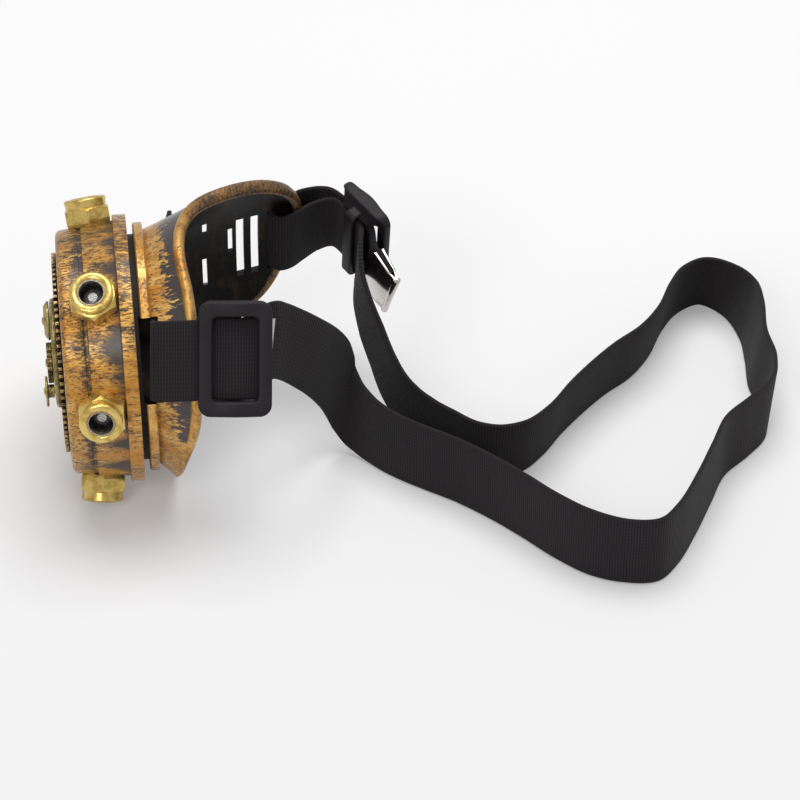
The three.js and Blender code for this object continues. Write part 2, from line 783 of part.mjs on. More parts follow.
function strapStations() {
  const half = layerPitch / 2;
  const end = sliderLength / 2;
  const lay = seatGap + strapThickness / 2;
  const nose = (x, reach) => ({ point: strapOnCup(noseSlotAngle, x, reach), up: noseUp });
  const temple = (x, reach) => ({ point: strapOnCup(templeSlotAngle, x, reach), up: templeUp });
  const tipped = (tipX, tipY) => new THREE.Vector3(tipX, tipY, 1).normalize();
  const near = (along, out, lift = 0, up = noseUp) => ({
    point: inFrame(nearSliderFrame, along, out, nearSliderDrop + lift),
    up,
  });
  const far = (along, out) => ({ point: inFrame(farSliderFrame, along, out), up: farSliderUp });
  const free = ([x, y, z, tipX, tipY]) => ({
    point: new THREE.Vector3(x, y, z),
    up: tipped(tipX, tipY),
  });
  const tail = (back) => ({
    point: farTailEnd.clone().addScaledVector(farTailHeading, -back),
    up: farTailUp,
  });
  const rimAt = (angle) => rimStations.find(([place]) => place === angle);
  const [, noseReach, noseOut] = rimAt(noseSlotAngle);
  const noseRim = cupWallFront + noseReach;
  const overNose = cupWallRadius + noseOut + rimBeadRadius + lay;
  const slotRear = cupFlangeFront - noseSlotSetback + noseSlotLength;
  const [, templeReach, templeOut] = rimAt(templeSlotAngle);
  const templeRim = cupWallFront + templeReach;
  const templeRadius = cupWallRadius + templeOut;
  const overTemple = templeRadius + rimBeadRadius + lay;
  const underTemple = chordReach(templeRadius - rimBeadRadius) - lay;
  const slotThree = cupWallFront + templeSlotPlaces.at(-1);
  return [
    near(end - nearTailInset, half),
    near(0, half),
    near(-end + sliderSideBar, half),
    nose(noseRim, overNose + seatGap),
    ...noseFold.map(([behind, under]) => nose(slotRear + behind, overNose - under)),
    nose(noseRim + 0.2, overNose - 6.6),
    nose(noseRim + 3.2, overNose - 4.6),
    near(-end / 2 + 0.8, -half),
    near(0, -half),
    near(end / 4, -half),
    near(end / 2, -half - 0.2, 0.3),
    ...nearRun.map(([along, out, lift, ...tip]) => near(along, out, lift, tipped(...tip))),
    ...freeLoop.map(free),
    far(-end / 2 + 1.5, -half),
    far(0, -half),
    far(end - 1, -half),
    ...farInner.map(free),
    temple(templeRim, underTemple - 0.3),
    temple(slotThree + 2, underTemple - 1),
    temple(slotThree, underTemple + 1),
    temple(slotThree, overTemple - 2),
    temple(slotThree + 1.6, overTemple - 0.3),
    temple(templeRim, overTemple + 0.6),
    ...farOuter.map(free),
    far(end - 1, half),
    far(0, half),
    far(-end / 2, half / 2),
    tail(crimpLength + 5 * seatGap),
    tail(crimpLength + seatGap),
    tail(crimpLength / 2),
    tail(0),
  ];
}

// Points along the strap with the direction of its width at each, finer than the stations
function strapRoute() {
  const stations = strapStations();
  const curve = new THREE.CatmullRomCurve3(stations.map(({ point }) => point), false, "centripetal");
  const spans = stations.length - 1;
  return [...Array(spans * strapSubSteps + 1).keys()].map((i) => {
    const along = i / strapSubSteps;
    const from = Math.min(Math.floor(along), spans - 1);
    const tangent = curve.getTangent(along / spans);
    const up = stations[from].up.clone().lerp(stations[from + 1].up, along - from);
    return { point: curve.getPoint(along / spans), tangent, up: up.normalize() };
  });
}

function headStrap() {
  const rings = strapRoute().map(({ point, tangent, up }) => {
    const out = new THREE.Vector3().crossVectors(tangent, up).normalize();
    const corners = [
      [1, 1],
      [-1, 1],
      [-1, -1],
      [1, -1],
    ];
    return corners.map(([high, side]) =>
      point
        .clone()
        .addScaledVector(up, (high * strapWidth) / 2)
        .addScaledVector(out, (side * strapThickness) / 2),
    );
  });
  return loft(rings, true);
}

function roundedRectangle(shape, halfX, halfY, corner) {
  shape.moveTo(halfX, -halfY + corner);
  shape.absarc(halfX - corner, halfY - corner, corner, 0, PI / 2, false);
  shape.absarc(-halfX + corner, halfY - corner, corner, PI / 2, PI, false);
  shape.absarc(-halfX + corner, -halfY + corner, corner, PI, 1.5 * PI, false);
  shape.absarc(halfX - corner, -halfY + corner, corner, 1.5 * PI, 2 * PI, false);
  return shape;
}

// A tri-glide slider: side bars over the doubled strap, a centre bar under it, rails past its edges
function slider() {
  const halfLength = sliderLength / 2;
  const halfWidth = sliderWidth / 2;
  const inner = strapWidth / 2 + sliderSideGap;
  const top = barUnderside + sliderPlate;
  const outline = () => roundedRectangle(new THREE.Shape(), halfLength, halfWidth, sliderCorner);
  const frame = outline();
  const opening = new THREE.Path();
  roundedRectangle(opening, halfLength - sliderSideBar, inner, sliderCorner / 3);
  frame.holes.push(opening);
  const body = plate(frame, sliderPlate, barUnderside, 5);
  const railTrim = plate(outline(), 2 * top, -top, 5);
  const rails = [1, -1].map((side) => {
    const [low, high] = [inner * side, halfWidth * side].sort((a, b) => a - b);
    return box(-halfLength, halfLength, low, high, top - sliderRailDepth, top);
  });
  const bottom = centreBarTop - sliderCentreThickness;
  const halfBar = sliderCentreBar / 2;
  const legReach = (inner + halfWidth) / 2;
  const legs = [1, -1].map((side) => {
    const [low, high] = [inner * side, legReach * side].sort((a, b) => a - b);
    return box(-halfBar, halfBar, low, high, bottom, top - sliderPlate / 2);
  });
  const bar = box(-halfBar, halfBar, -legReach, legReach, bottom, centreBarTop);
  const whole = [body, ...rails, ...legs, bar].map(solid).reduce((sum, piece) => sum.add(piece));
  return geometryOf(whole.intersect(solid(railTrim)));
}

// A folded sheet over the strap's end; its fold is at x = 0 and its legs run back along -x
function crimp(length) {
  const high = strapThickness / 2 + crimpGap + crimpSheet;
  const low = high - crimpSheet;
  const shape = new THREE.Shape();
  shape.moveTo(-length, -high);
  shape.absarc(0, 0, high, -PI / 2, PI / 2, false);
  shape.lineTo(-length, high);
  shape.lineTo(-length, low);
  shape.lineTo(0, low);
  shape.lineTo(0, -low);
  shape.lineTo(-length, -low);
  return plate(shape, strapWidth, -strapWidth / 2, 4).rotateX(PI / 2);
}

function framedGroup(parent, { centre, along, up }) {
  const outward = new THREE.Vector3().crossVectors(along, up);
  const group = new THREE.Group();
  group.position.copy(centre);
  group.setRotationFromMatrix(new THREE.Matrix4().makeBasis(along, up, outward));
  parent.add(group);
  return group;
}

function strapHardware(parent) {
  node(framedGroup(parent, nearSliderFrame), "near_slider", slider(), finishes.blackPlastic);
  node(framedGroup(parent, farSliderFrame), "far_slider", slider(), finishes.blackPlastic);
  const route = strapRoute();
  const ends = { near_crimp: [route[0], -1, nearCrimpLength], far_crimp: [route.at(-1), 1, crimpLength] };
  for (const [name, [{ point, tangent, up }, sense, length]] of Object.entries(ends)) {
    const along = tangent.clone().multiplyScalar(sense);
    const centre = point.clone().addScaledVector(along, crimpGap);
    node(framedGroup(parent, { centre, along, up }), name, crimp(length), finishes.steel);
  }
}

const goggle = new THREE.Group();
goggle.position.z = axisHeight;
node(goggle, "bezel_ring", bezelRing(), finishes.antiqueGold);
node(goggle, "lens", lens(), finishes.glass);
node(goggle, "lens_gasket", gasket(), finishes.rubber);
node(goggle, "eye_cup", eyeCup(), finishes.antiqueGold);
fittingPlaces.forEach((place, index) => {
  const { radial, seat } = fittingGroup(place);
  goggle.add(radial);
  node(seat, "hex_fitting_" + (index + 1), hexFitting(), finishes.brass).position.z = seatGap;
  node(seat, "fitting_screw_" + (index + 1), fittingScrew(), finishes.steel).position.z = seatGap;
});
ornament(goggle);

// The whole part stands on the table with its origin under the middle of its box
const monocle = new THREE.Group();
const layout = new THREE.Group();
layout.add(goggle);
node(layout, "head_strap", headStrap(), finishes.elastic);
strapHardware(layout);
monocle.add(layout);
monocle.updateMatrixWorld(true);
const bounds = new THREE.Box3().setFromObject(monocle, true);
const middle = bounds.getCenter(new THREE.Vector3());
layout.position.set(-middle.x, -middle.y, -bounds.min.z);

export default monocle;
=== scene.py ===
"""Looks of a one-eyed goggle in the steampunk style, on a white table with its head strap laid out."""

import json
import math

import bmesh
import bpy
from mathutils import Matrix, Vector

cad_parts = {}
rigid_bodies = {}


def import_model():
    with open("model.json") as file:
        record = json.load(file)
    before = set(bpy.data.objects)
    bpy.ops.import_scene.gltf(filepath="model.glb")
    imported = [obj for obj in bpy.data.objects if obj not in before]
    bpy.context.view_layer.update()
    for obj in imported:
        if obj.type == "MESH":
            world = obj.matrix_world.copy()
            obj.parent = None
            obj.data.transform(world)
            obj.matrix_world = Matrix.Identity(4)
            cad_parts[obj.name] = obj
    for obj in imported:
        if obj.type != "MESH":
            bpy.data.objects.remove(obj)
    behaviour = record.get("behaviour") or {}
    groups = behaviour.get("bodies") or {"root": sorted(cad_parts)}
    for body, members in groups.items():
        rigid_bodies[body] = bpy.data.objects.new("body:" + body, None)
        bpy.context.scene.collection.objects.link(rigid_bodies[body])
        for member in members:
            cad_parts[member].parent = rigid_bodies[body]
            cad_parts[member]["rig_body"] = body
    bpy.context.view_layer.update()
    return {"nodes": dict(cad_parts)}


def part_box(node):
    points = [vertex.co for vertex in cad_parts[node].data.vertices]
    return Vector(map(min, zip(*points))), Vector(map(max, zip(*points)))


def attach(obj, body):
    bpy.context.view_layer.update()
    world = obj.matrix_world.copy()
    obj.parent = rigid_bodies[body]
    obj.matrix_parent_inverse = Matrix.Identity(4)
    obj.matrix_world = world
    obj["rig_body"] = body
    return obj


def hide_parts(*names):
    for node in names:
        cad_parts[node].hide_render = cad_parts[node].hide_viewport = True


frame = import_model()

MM = 0.001

# The goggle's own frame, in millimetres: x along the lens axis from the bezel's rear flange, y away from
# the camera, z up. The goggle's pieces measure z from the lens axis, the strap and sliders from the table.
BAND_LENGTH = 14.6
AXIS_HEIGHT = 36.103
bezel_low, bezel_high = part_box("bezel_ring")
AXIS = Vector((
    bezel_low.x + BAND_LENGTH * MM,
    (bezel_low.y + bezel_high.y) / 2,
    (bezel_low.z + bezel_high.z) / 2,
))


def on_goggle(point):
    return AXIS + Vector(point) * MM


def on_table(point):
    return AXIS + (Vector(point) - Vector((0, 0, AXIS_HEIGHT))) * MM


def placed(name, data):
    """A new object in the scene."""
    made = bpy.data.objects.new(name, data)
    bpy.context.scene.collection.objects.link(made)
    return made


# Camera
EYE = (-3.495, -586.413, 450.329)
LOOK_DOWN = 53.5
LOOK_ASIDE = -7.3
FOCAL_LENGTH = 126
SENSOR_WIDTH = 36


def add_camera():
    data = bpy.data.cameras.new("camera")
    data.lens = FOCAL_LENGTH
    data.sensor_width = SENSOR_WIDTH
    camera = placed("camera", data)
    camera.location = on_table(EYE)
    camera.rotation_euler = (math.radians(LOOK_DOWN), 0, math.radians(LOOK_ASIDE))
    bpy.context.scene.camera = camera


# Shaders, with the sockets of a Mix node when it mixes colours
MIX_FACTOR, MIX_LOW, MIX_HIGH = 0, 6, 7
MIX_RESULT = 2


def arithmetic(operation, turned_round=False):
    """A method of Value that adds one Math node."""

    def method(self, *others):
        values = (*others, self) if turned_round else (self, *others)
        return self.shader.node("ShaderNodeMath", {"operation": operation}, values)

    return method


class Value:
    """A number in a shader. Arithmetic on it adds Math nodes."""

    __add__ = arithmetic("ADD")
    __radd__ = arithmetic("ADD", turned_round=True)
    __sub__ = arithmetic("SUBTRACT")
    __rsub__ = arithmetic("SUBTRACT", turned_round=True)
    __mul__ = arithmetic("MULTIPLY")
    __rmul__ = arithmetic("MULTIPLY", turned_round=True)
    __truediv__ = arithmetic("DIVIDE")
    sine = arithmetic("SINE")
    root = arithmetic("SQRT")
    high_of = arithmetic("MAXIMUM")

    def __init__(self, shader, socket):
        self.shader = shader
        self.socket = socket

    def step(self, low, high):
        """0 below low, 1 above high and smooth between."""
        sockets = {"Value": self, "From Min": low, "From Max": high}
        return self.shader.node("ShaderNodeMapRange", {"interpolation_type": "SMOOTHSTEP"}, sockets)


class Shader:
    """A material, or the world, with the given constants on its one surface shader."""

    def __init__(self, name, constants, world=None):
        self.material = world or bpy.data.materials.new(name)
        self.material.use_nodes = True
        self.tree = self.material.node_tree
        self.surface = self.tree.nodes["Background" if world else "Principled BSDF"]
        for socket, value in constants.items():
            self.surface.inputs[socket].default_value = value

    def fill(self, socket, value):
        if isinstance(value, Value):
            self.tree.links.new(value.socket, socket)
        else:
            socket.default_value = value

    def node(self, kind, settings, sockets, out=0):
        """Any node: its type, its settings, and the values of its sockets, in order or by name."""
        made = self.tree.nodes.new(kind)
        for name, value in settings.items():
            setattr(made, name, value)
        pairs = sockets.items() if isinstance(sockets, dict) else enumerate(sockets)
        for key, value in pairs:
            self.fill(made.inputs[key], value)
        return Value(self, made.outputs[out])

    def drive(self, socket, value):
        self.fill(self.surface.inputs[socket], value)

    def ray(self, *kinds):
        """1 for rays of the named kinds, such as those from the camera."""
        values = [self.node("ShaderNodeLightPath", {}, {}, out=f"Is {kind} Ray") for kind in kinds]
        total = values[0]
        for value in values[1:]:
            total = total.high_of(value)
        return total

    def point(self):
        """A surface point in metres, as the piece lies at rest."""
        return self.node("ShaderNodeTexCoord", {}, {}, out="Object")

    def split(self, vector):
        made = self.node("ShaderNodeSeparateXYZ", {}, [vector])
        return [Value(self, socket) for socket in made.socket.node.outputs]

    def vector(self, *parts):
        return self.node("ShaderNodeCombineXYZ", {}, parts)

    def noise(self, vector, scale, detail=3.0, roughness=0.5):
        sockets = {"Vector": vector, "Scale": scale, "Detail": detail, "Roughness": roughness}
        return self.node("ShaderNodeTexNoise", {}, sockets)

    def mix(self, factor, low, high):
        low, high = (colour if isinstance(colour, Value) else (*colour, 1) for colour in (low, high))
        sockets = {MIX_FACTOR: factor, MIX_LOW: low, MIX_HIGH: high}
        return self.node("ShaderNodeMix", {"data_type": "RGBA"}, sockets, out=MIX_RESULT)

    def finished(self, colour, roughness, height, relief, metallic=None):
        """The material, with what varies over its surface. relief is how deep the height's bumps are."""
        varying = {"Base Color": colour, "Roughness": roughness}
        if metallic:
            varying["Metallic"] = metallic
        if relief:
            sockets = {"Height": height, "Distance": relief * MM, "Strength": 1.0}
            varying["Normal"] = self.node("ShaderNodeBump", {}, sockets)
        for socket, value in varying.items():
            self.drive(socket, value)
        return self.material


def from_axis(shader):
    """A surface point of the goggle, in millimetres: along the lens axis, aside and up from it."""
    x, y, z = shader.split(shader.point())
    return (x - AXIS.x) / MM, (y - AXIS.y) / MM, (z - AXIS.z) / MM


def stretched(shader, place, along_scale, across_scale, detail, roughness):
    """Noise with one scale along the lens axis and another across it."""
    along, aside, up = place
    point = shader.vector(along * along_scale, aside * across_scale, up * across_scale)
    return shader.noise(point, 1, detail, roughness)


# Finishes
PATINA = (0.022, 0.0155, 0.014)
GUNMETAL = (0.042, 0.034, 0.032)
OLD_GOLD = (0.56, 0.245, 0.026)
PALE_GOLD = (0.74, 0.44, 0.125)
BRIGHT_BRASS = (0.74, 0.545, 0.165)
DEEP_BRASS = (0.50, 0.315, 0.060)
SLEEVE_NICKEL = ("sleeve nickel", (0.26, 0.22, 0.16), (0.52, 0.46, 0.36))
SCREW_STEEL = ("screw steel", (0.26, 0.25, 0.24), (0.66, 0.65, 0.62))
# Brass of the ring gear, the cog, the wheel and the rivets: dark and light, where the rubbing starts and
# is full, and the radius beyond which it is brighter (rubbed tips with a painted highlight on the ring
# gear's teeth), which the last three stay inside
ORNAMENT_BRASSES = (
    ("ring gear brass", (0.024, 0.017, 0.011), (0.42, 0.30, 0.13), 0.5, 0.66, 24.6),
    ("cog brass", (0.05, 0.036, 0.018), (0.52, 0.38, 0.15), 0.42, 0.6, 60),
    ("ornament brass", (0.12, 0.085, 0.035), (0.46, 0.36, 0.14), 0.36, 0.58, 60),
    ("rivet brass", (0.16, 0.11, 0.05), (0.56, 0.44, 0.2), 0.34, 0.56, 60),
)
LACQUER = {"Specular IOR Level": 0.5, "Coat Weight": 0.45, "Coat Roughness": 0.2}


def rubbed_gold(shader, rubbed, fleck, tone):
    """Gold rubbed over dark patina: rubbed is 1 where the gold lies."""
    gold = shader.mix(tone, OLD_GOLD, PALE_GOLD)
    colour = shader.mix(rubbed, PATINA, gold)
    roughness = 0.5 - 0.16 * rubbed + 0.16 * fleck
    return shader.finished(colour, roughness, rubbed + 0.5 * fleck, 0.07, 0.15 + 0.65 * rubbed)


def bezel_finish():
    shader = Shader("bezel antique gold", LACQUER)
    place = along, aside, up = from_axis(shader)
    hairs = stretched(shader, place, 0.4, 1.9, 4, 0.62)
    strokes = stretched(shader, place, 0.24, 0.55, 5, 0.66)
    fleck = stretched(shader, place, 1.5, 2, 4, 0.72)
    marks = stretched(shader, place, 0.6, 2.8, 3, 0.6)
    patch = shader.noise(shader.vector(along * 0.2, aside, up), 0.13, 2)
    ahead = 0 - along
    # Darker in patches in the corner before the flange: patina left in that hollow, and painted shade of
    # the corner
    depth = 1.4 + 22 * (patch - 0.47) + 7 * (strokes - 0.5) + 9 * (hairs - 0.5)
    corner = (depth - ahead).step(-1.6, 1.6) * ahead.step(-0.1, 0.1)
    before_seam = along + GROOVE_SETBACK
    seam = before_seam.step(-3.4, -0.5) * (1 - before_seam.step(0.2, 0.6))
    grain = strokes * 0.4 + hairs * 0.34 + fleck * 0.26
    # Less gold and more scratches toward the band's top: a painted grey sheen on the top, where the light
    # falls, carried on into rubbed
    wear_and_top_sheen = grain - seam * 0.07 - patch.step(0.45, 0.7) * 0.05 - up.step(16, 32) * 0.04
    scratch_field_and_top_sheen = (0.5 * strokes + 0.5 * patch + 0.05 * up.step(12, 30)).step(0.44, 0.57)
    scratches_and_top_sheen = marks.step(0.5, 0.6) * (0.06 + 0.86 * scratch_field_and_top_sheen)
    rubbed = wear_and_top_sheen.step(0.37, 0.5) * (1 - 0.94 * corner) * (1 - scratches_and_top_sheen)
    return rubbed_gold(shader, rubbed, fleck, (0.5 * patch + 0.5 * strokes).step(0.4, 0.66))


def cup_finish():
    constants = {"Specular IOR Level": 0.4, "Coat Weight": 0.45, "Coat Roughness": 0.16}
    shader = Shader("cup brushed gold", constants)
    place = along, _, up = from_axis(shader)
    hairs = stretched(shader, place, 0.09, 1.15, 3, 0.6)
    strokes = stretched(shader, place, 0.05, 0.4, 4, 0.6)
    fleck = stretched(shader, place, 0.5, 2.4, 4, 0.7)
    dry = stretched(shader, place, 0.3, 2.2, 4, 0.6)
    behind = along - CUP_WALL_FRONT
    below = 1 - up.step(-16, -4)
    reach = 4.6 + 6 * (strokes - 0.5) + 11 * (hairs - 0.5) + 13 * below
    brushed = (reach - behind).step(-0.4, 1.1)
    scuffs = dry.step(0.54, 0.72) * strokes.step(0.42, 0.62) * 0.3
    worn = (0.6 * fleck + 0.4 * hairs).step(0.36, 0.52) * (1 - 0.6 * dry.step(0.54, 0.64))
    rubbed = (brushed * worn).high_of(scuffs)
    gold = shader.mix(strokes.step(0.35, 0.65), OLD_GOLD, PALE_GOLD)
    colour = shader.mix(rubbed, GUNMETAL, gold)
    roughness = 0.3 + 0.14 * rubbed + 0.12 * fleck
    return shader.finished(colour, roughness, rubbed + 0.4 * hairs, 0.06, 0.2 + 0.5 * rubbed)


def rim_finish():
    shader = Shader("rim antique gold", LACQUER)
    place = along, _, up = from_axis(shader)
    point = shader.vector(*place)
    fleck = shader.noise(point, 1.7, 5, 0.74)
    hairs = stretched(shader, place, 1.6, 0.9, 4, 0.66)
    patch = shader.noise(point, 0.12, 3)
    crown = along.step(15, 24)
    foot = 1 - up.step(-20, -8)
    cover = fleck * 0.46 + hairs * 0.34 + patch * 0.2 - 0.07 * crown - 0.06 * foot
    rubbed = cover.step(0.36, 0.52) * (1 - 0.42 * crown)
    return rubbed_gold(shader, rubbed, fleck, patch.step(0.35, 0.65) * (1 - 0.8 * crown))


def inside_finish():
    constants = {"Specular IOR Level": 0.1, "Coat Weight": 0.03, "Coat Roughness": 0.05}
    shader = Shader("cup inside", constants)
    place = from_axis(shader)
    swirl = stretched(shader, place, 0.12, 0.2, 4, 0.6)
    hairs = stretched(shader, place, 0.5, 0.16, 4, 0.6)
    rubbed = (hairs * 0.6 + swirl * 0.5).step(0.52, 0.78)
    dark = shader.mix(swirl.step(0.4, 0.7), (0.0035, 0.0025, 0.0022), (0.011, 0.0075, 0.006))
    colour = shader.mix(rubbed * 0.5, dark, (0.10, 0.06, 0.034))
    return shader.finished(colour, 0.14 + 0.34 * swirl, hairs + swirl, 0.05)


def fitting_finish():
    constants = {"Specular IOR Level": 0.6, "Coat Weight": 0.25, "Coat Roughness": 0.1}
    shader = Shader("fitting bright brass", constants)
    point = shader.vector(*from_axis(shader))
    pooled = shader.noise(point, 0.38, 4, 0.55)
    dimple = shader.noise(point, 1.1, 3)
    speck = shader.noise(point, 3.2, 3)
    brass = shader.mix(pooled.step(0.32, 0.6), DEEP_BRASS, BRIGHT_BRASS)
    colour = shader.mix(speck.step(0.66, 0.74), brass, (0.16, 0.09, 0.02))
    height = pooled + 0.4 * dimple
    return shader.finished(colour, 0.16 + 0.24 * dimple, height, 0.12, 0.7 + 0.2 * pooled)


def ornament_finish(name, dark, light, low, high, tip_highlight_from):
    """Cast brass of the gears: dark in its pores, rubbed bright in places, and brighter beyond a radius
    for rubbed tips with a painted highlight.
    """
    shader = Shader(name, {"Metallic": 0.9})
    place = _, aside, up = from_axis(shader)
    point = shader.vector(*place)
    radius = (aside * aside + up * up).root()
    pores = shader.noise(point, 2.2, 5, 0.7)
    worn = shader.noise(point, 0.35, 3)
    # Brighter beyond a radius: rubbed tips of the teeth with a painted highlight on them
    tip_wear_and_highlight = radius.step(tip_highlight_from, tip_highlight_from + 0.9)
    rubbed = (pores * 0.6 + worn * 0.4 + tip_wear_and_highlight * 0.14).step(low, high)
    colour = shader.mix(rubbed, dark, light)
    return shader.finished(colour, 0.5 - 0.22 * rubbed, pores + rubbed, 0.03)


def grained(shader, point, scale, colours, roughness, relief, contrast=None):
    """A plain finish: one grain in its colour, in its roughness and, if it has any, in its relief."""
    grain = shader.noise(point, scale, 4)
    shade = grain.step(*contrast) if contrast else grain
    colour = shader.mix(shade, *colours)
    return shader.finished(colour, roughness[0] + roughness[1] * grain, grain, relief)


def neck_finish():
    shader = Shader("cup neck", {"Specular IOR Level": 0.35})
    colours = (0.006, 0.005, 0.005), (0.02, 0.015, 0.012)
    return grained(shader, shader.vector(*from_axis(shader)), 0.7, colours, (0.45, 0.3), 0.03)


def bore_finish():
    shader = Shader("fitting bore", {"Metallic": 0.5, "Specular IOR Level": 0.5})
    colours = (0.030, 0.028, 0.026), (0.16, 0.15, 0.135)
    point = shader.vector(*from_axis(shader))
    return grained(shader, point, 1.2, colours, (0.16, 0.3), 0.03, (0.4, 0.7))


def steel_finish(name, *colours):
    shader = Shader(name, {"Metallic": 0.75})
    x, y, z = shader.split(shader.point())
    point = shader.vector(x, y * 6, z * 6)
    return grained(shader, point, 900, colours, (0.12, 0.25), 0.01, (0.35, 0.7))


def lens_finish():
    constants = {"Transmission Weight": 0.92, "IOR": 1.49, "Specular IOR Level": 0.5}
    shader = Shader("lens", constants)
    colours = (0.72, 0.74, 0.72), (0.82, 0.84, 0.82)
    return grained(shader, shader.vector(*from_axis(shader)), 0.5, colours, (0.02, 0.04), 0)


def rubber_finish():
    shader = Shader("gasket rubber", {"Specular IOR Level": 0.3})
    colours = (0.010, 0.010, 0.010), (0.026, 0.025, 0.025)
    return grained(shader, shader.vector(*from_axis(shader)), 3, colours, (0.65, 0.25), 0.03)


def chrome_finish():
    shader = Shader("crimp chrome", {"Metallic": 1.0})
    colours = (0.52, 0.49, 0.475), (0.70, 0.67, 0.65)
    return grained(shader, shader.point(), 420, colours, (0.06, 0.14), 0.01)


def elastic_finish():
    """Black elastic: ribs across the strap, each one a row of small stitches."""
    constants = {"Specular IOR Level": 0.18, "Sheen Weight": 0.06, "Sheen Roughness": 0.5}
    shader = Shader("strap elastic", constants)
    weave = shader.node("ShaderNodeAttribute", {"attribute_name": "weave"}, {}, out="Vector")
    length, width, _ = shader.split(weave)
    lint = shader.noise(shader.point(), 2600, 3)
    rib = 0.5 + 0.5 * (length * (2 * math.pi / (RIB_PITCH * MM))).sine()
    stagger = (length * (math.pi / (RIB_PITCH * MM))).sine()
    stitch = 0.5 + 0.5 * (width * (2 * math.pi / (STITCH_PITCH * MM)) + 0.9 * stagger).sine()
    cloth = (0.25 + 0.75 * rib) * (0.66 + 0.34 * stitch)
    shade = cloth * 0.75 + lint * 0.3
    colour = shader.mix(shade, (0.0030, 0.0024, 0.0029), (0.033, 0.0285, 0.032))
    return shader.finished(colour, 0.78 + 0.2 * lint, cloth + 0.3 * lint, 0.14)


def plastic_finish():
    shader = Shader("slider plastic", {"Specular IOR Level": 0.24})
    point = shader.point()
    grain = shader.noise(point, 2400, 3)
    rub = shader.noise(point, 160, 3)
    colour = shader.mix(rub, (0.0080, 0.0064, 0.0078), (0.018, 0.0152, 0.0176))
    return shader.finished(colour, 0.42 + 0.22 * grain, grain, 0.02)


# Mesh tools
POINT_WELD = 1e-7
CAD_WELD = 1e-6
CAD_FLATNESS = 0.4


def settled(piece):
    """Applies a piece's modifiers."""
    graph = bpy.context.evaluated_depsgraph_get()
    mesh = bpy.data.meshes.new_from_object(piece.evaluated_get(graph))
    piece.modifiers.clear()
    piece.data = mesh
    return piece


def eased(piece, width, segments=3, angle=35):
    """Rounds a piece's sharp edges."""
    bevel = piece.modifiers.new("eased", "BEVEL")
    bevel.width = width * MM
    bevel.segments = segments
    bevel.limit_method = "ANGLE"
    bevel.angle_limit = math.radians(angle)
    bevel.use_clamp_overlap = True
    return settled(piece)


def raw_piece(name, points, faces, materials, faces_of=None):
    """A mesh object from points in metres; faces_of gives each face's material by number."""
    mesh = bpy.data.meshes.new(name)
    mesh.from_pydata(points, [], faces)
    for material in materials:
        mesh.materials.append(material)
    if faces_of:
        mesh.polygons.foreach_set("material_index", faces_of)
    shape = bmesh.new()
    shape.from_mesh(mesh)
    bmesh.ops.remove_doubles(shape, verts=shape.verts, dist=POINT_WELD)
    bmesh.ops.recalc_face_normals(shape, faces=shape.faces)
    shape.to_mesh(mesh)
    shape.free()
    return placed(name, mesh)


def stands_for(piece, node, angle=35):
    """The piece takes a CAD node's place on its body, shaded smooth with its sharp edges kept, and hides
    the node.
    """
    body = frame["nodes"][node]["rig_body"]
    piece.data.polygons.foreach_set("use_smooth", [True] * len(piece.data.polygons))
    piece.data.set_sharp_from_angle(angle=math.radians(angle))
    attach(piece, body)
    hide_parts(node)
    return piece


def rings_joined(rings, closed, capped=False):
    """Points and faces of a surface through rings of equally many points."""
    count = len(rings[0])
    points = [point for ring in rings for point in ring]
    faces = []
    spans = len(rings) if closed else len(rings) - 1
    for i in range(spans):
        here, there = i * count, (i + 1) % len(rings) * count
        for j in range(count):
            k = (j + 1) % count
            faces.append((here + j, here + k, there + k, there + j))
    if capped:
        faces.append(tuple(range(count)))
        faces.append(tuple((len(rings) - 1) * count + j for j in range(count)))
    return points, faces


def turned(profile, steps, place):
    """Rings of a closed profile of (along, radius), turned round the axis of place(along, aside, up)."""
    rings = []
    for i in range(steps):
        angle = 2 * math.pi * i / steps
        aside, up = math.cos(angle), math.sin(angle)
        rings.append([place(along, radius * aside, radius * up) for along, radius in profile])
    return rings_joined(rings, closed=True)


def arc(centre, radius, start, end, steps):
    """Points of a profile on an arc, angles in degrees."""
    angles = [math.radians(start + (end - start) * i / steps) for i in range(steps + 1)]
    return [(centre[0] + radius * math.cos(a), centre[1] + radius * math.sin(a)) for a in angles]


def dressed(node, material, ease):
    """A finer copy of a CAD node's shape, with eased edges."""
    mesh = frame["nodes"][node].data.copy()
    mesh.materials.clear()
    mesh.materials.append(material)
    shape = bmesh.new()
    shape.from_mesh(mesh)
    bmesh.ops.remove_doubles(shape, verts=shape.verts, dist=CAD_WELD)
    flat = math.radians(CAD_FLATNESS)
    bmesh.ops.dissolve_limit(shape, angle_limit=flat, verts=shape.verts, edges=shape.edges)
    shape.to_mesh(mesh)
    shape.free()
    piece = placed(node + "_dressed", mesh)
    return stands_for(eased(piece, ease, segments=2), node)


# Bezel
FLANGE_RADIUS = 34
FLANGE_WIDTH = 3.4
BAND_REAR_RADIUS = 32.6
BAND_FRONT_RADIUS = 31
FRONT_ROUND = 1.6
GROOVE_SETBACK = 8.6
GROOVE_WIDTH = 1
GROOVE_DEPTH = 0.4
LIP_THICKNESS = 2
LIP_RADIUS = 22.6
BORE_FRONT = -8.2
BORE_RADIUS = 29.2
POCKET_RADIUS = 27.2
BEZEL_EASE = 0.32
BEZEL_SIDES = 168


def band_radius(along):
    return BAND_REAR_RADIUS + (BAND_REAR_RADIUS - BAND_FRONT_RADIUS) * along / BAND_LENGTH


def axial(along, aside, up):
    return on_goggle((along, aside, up))


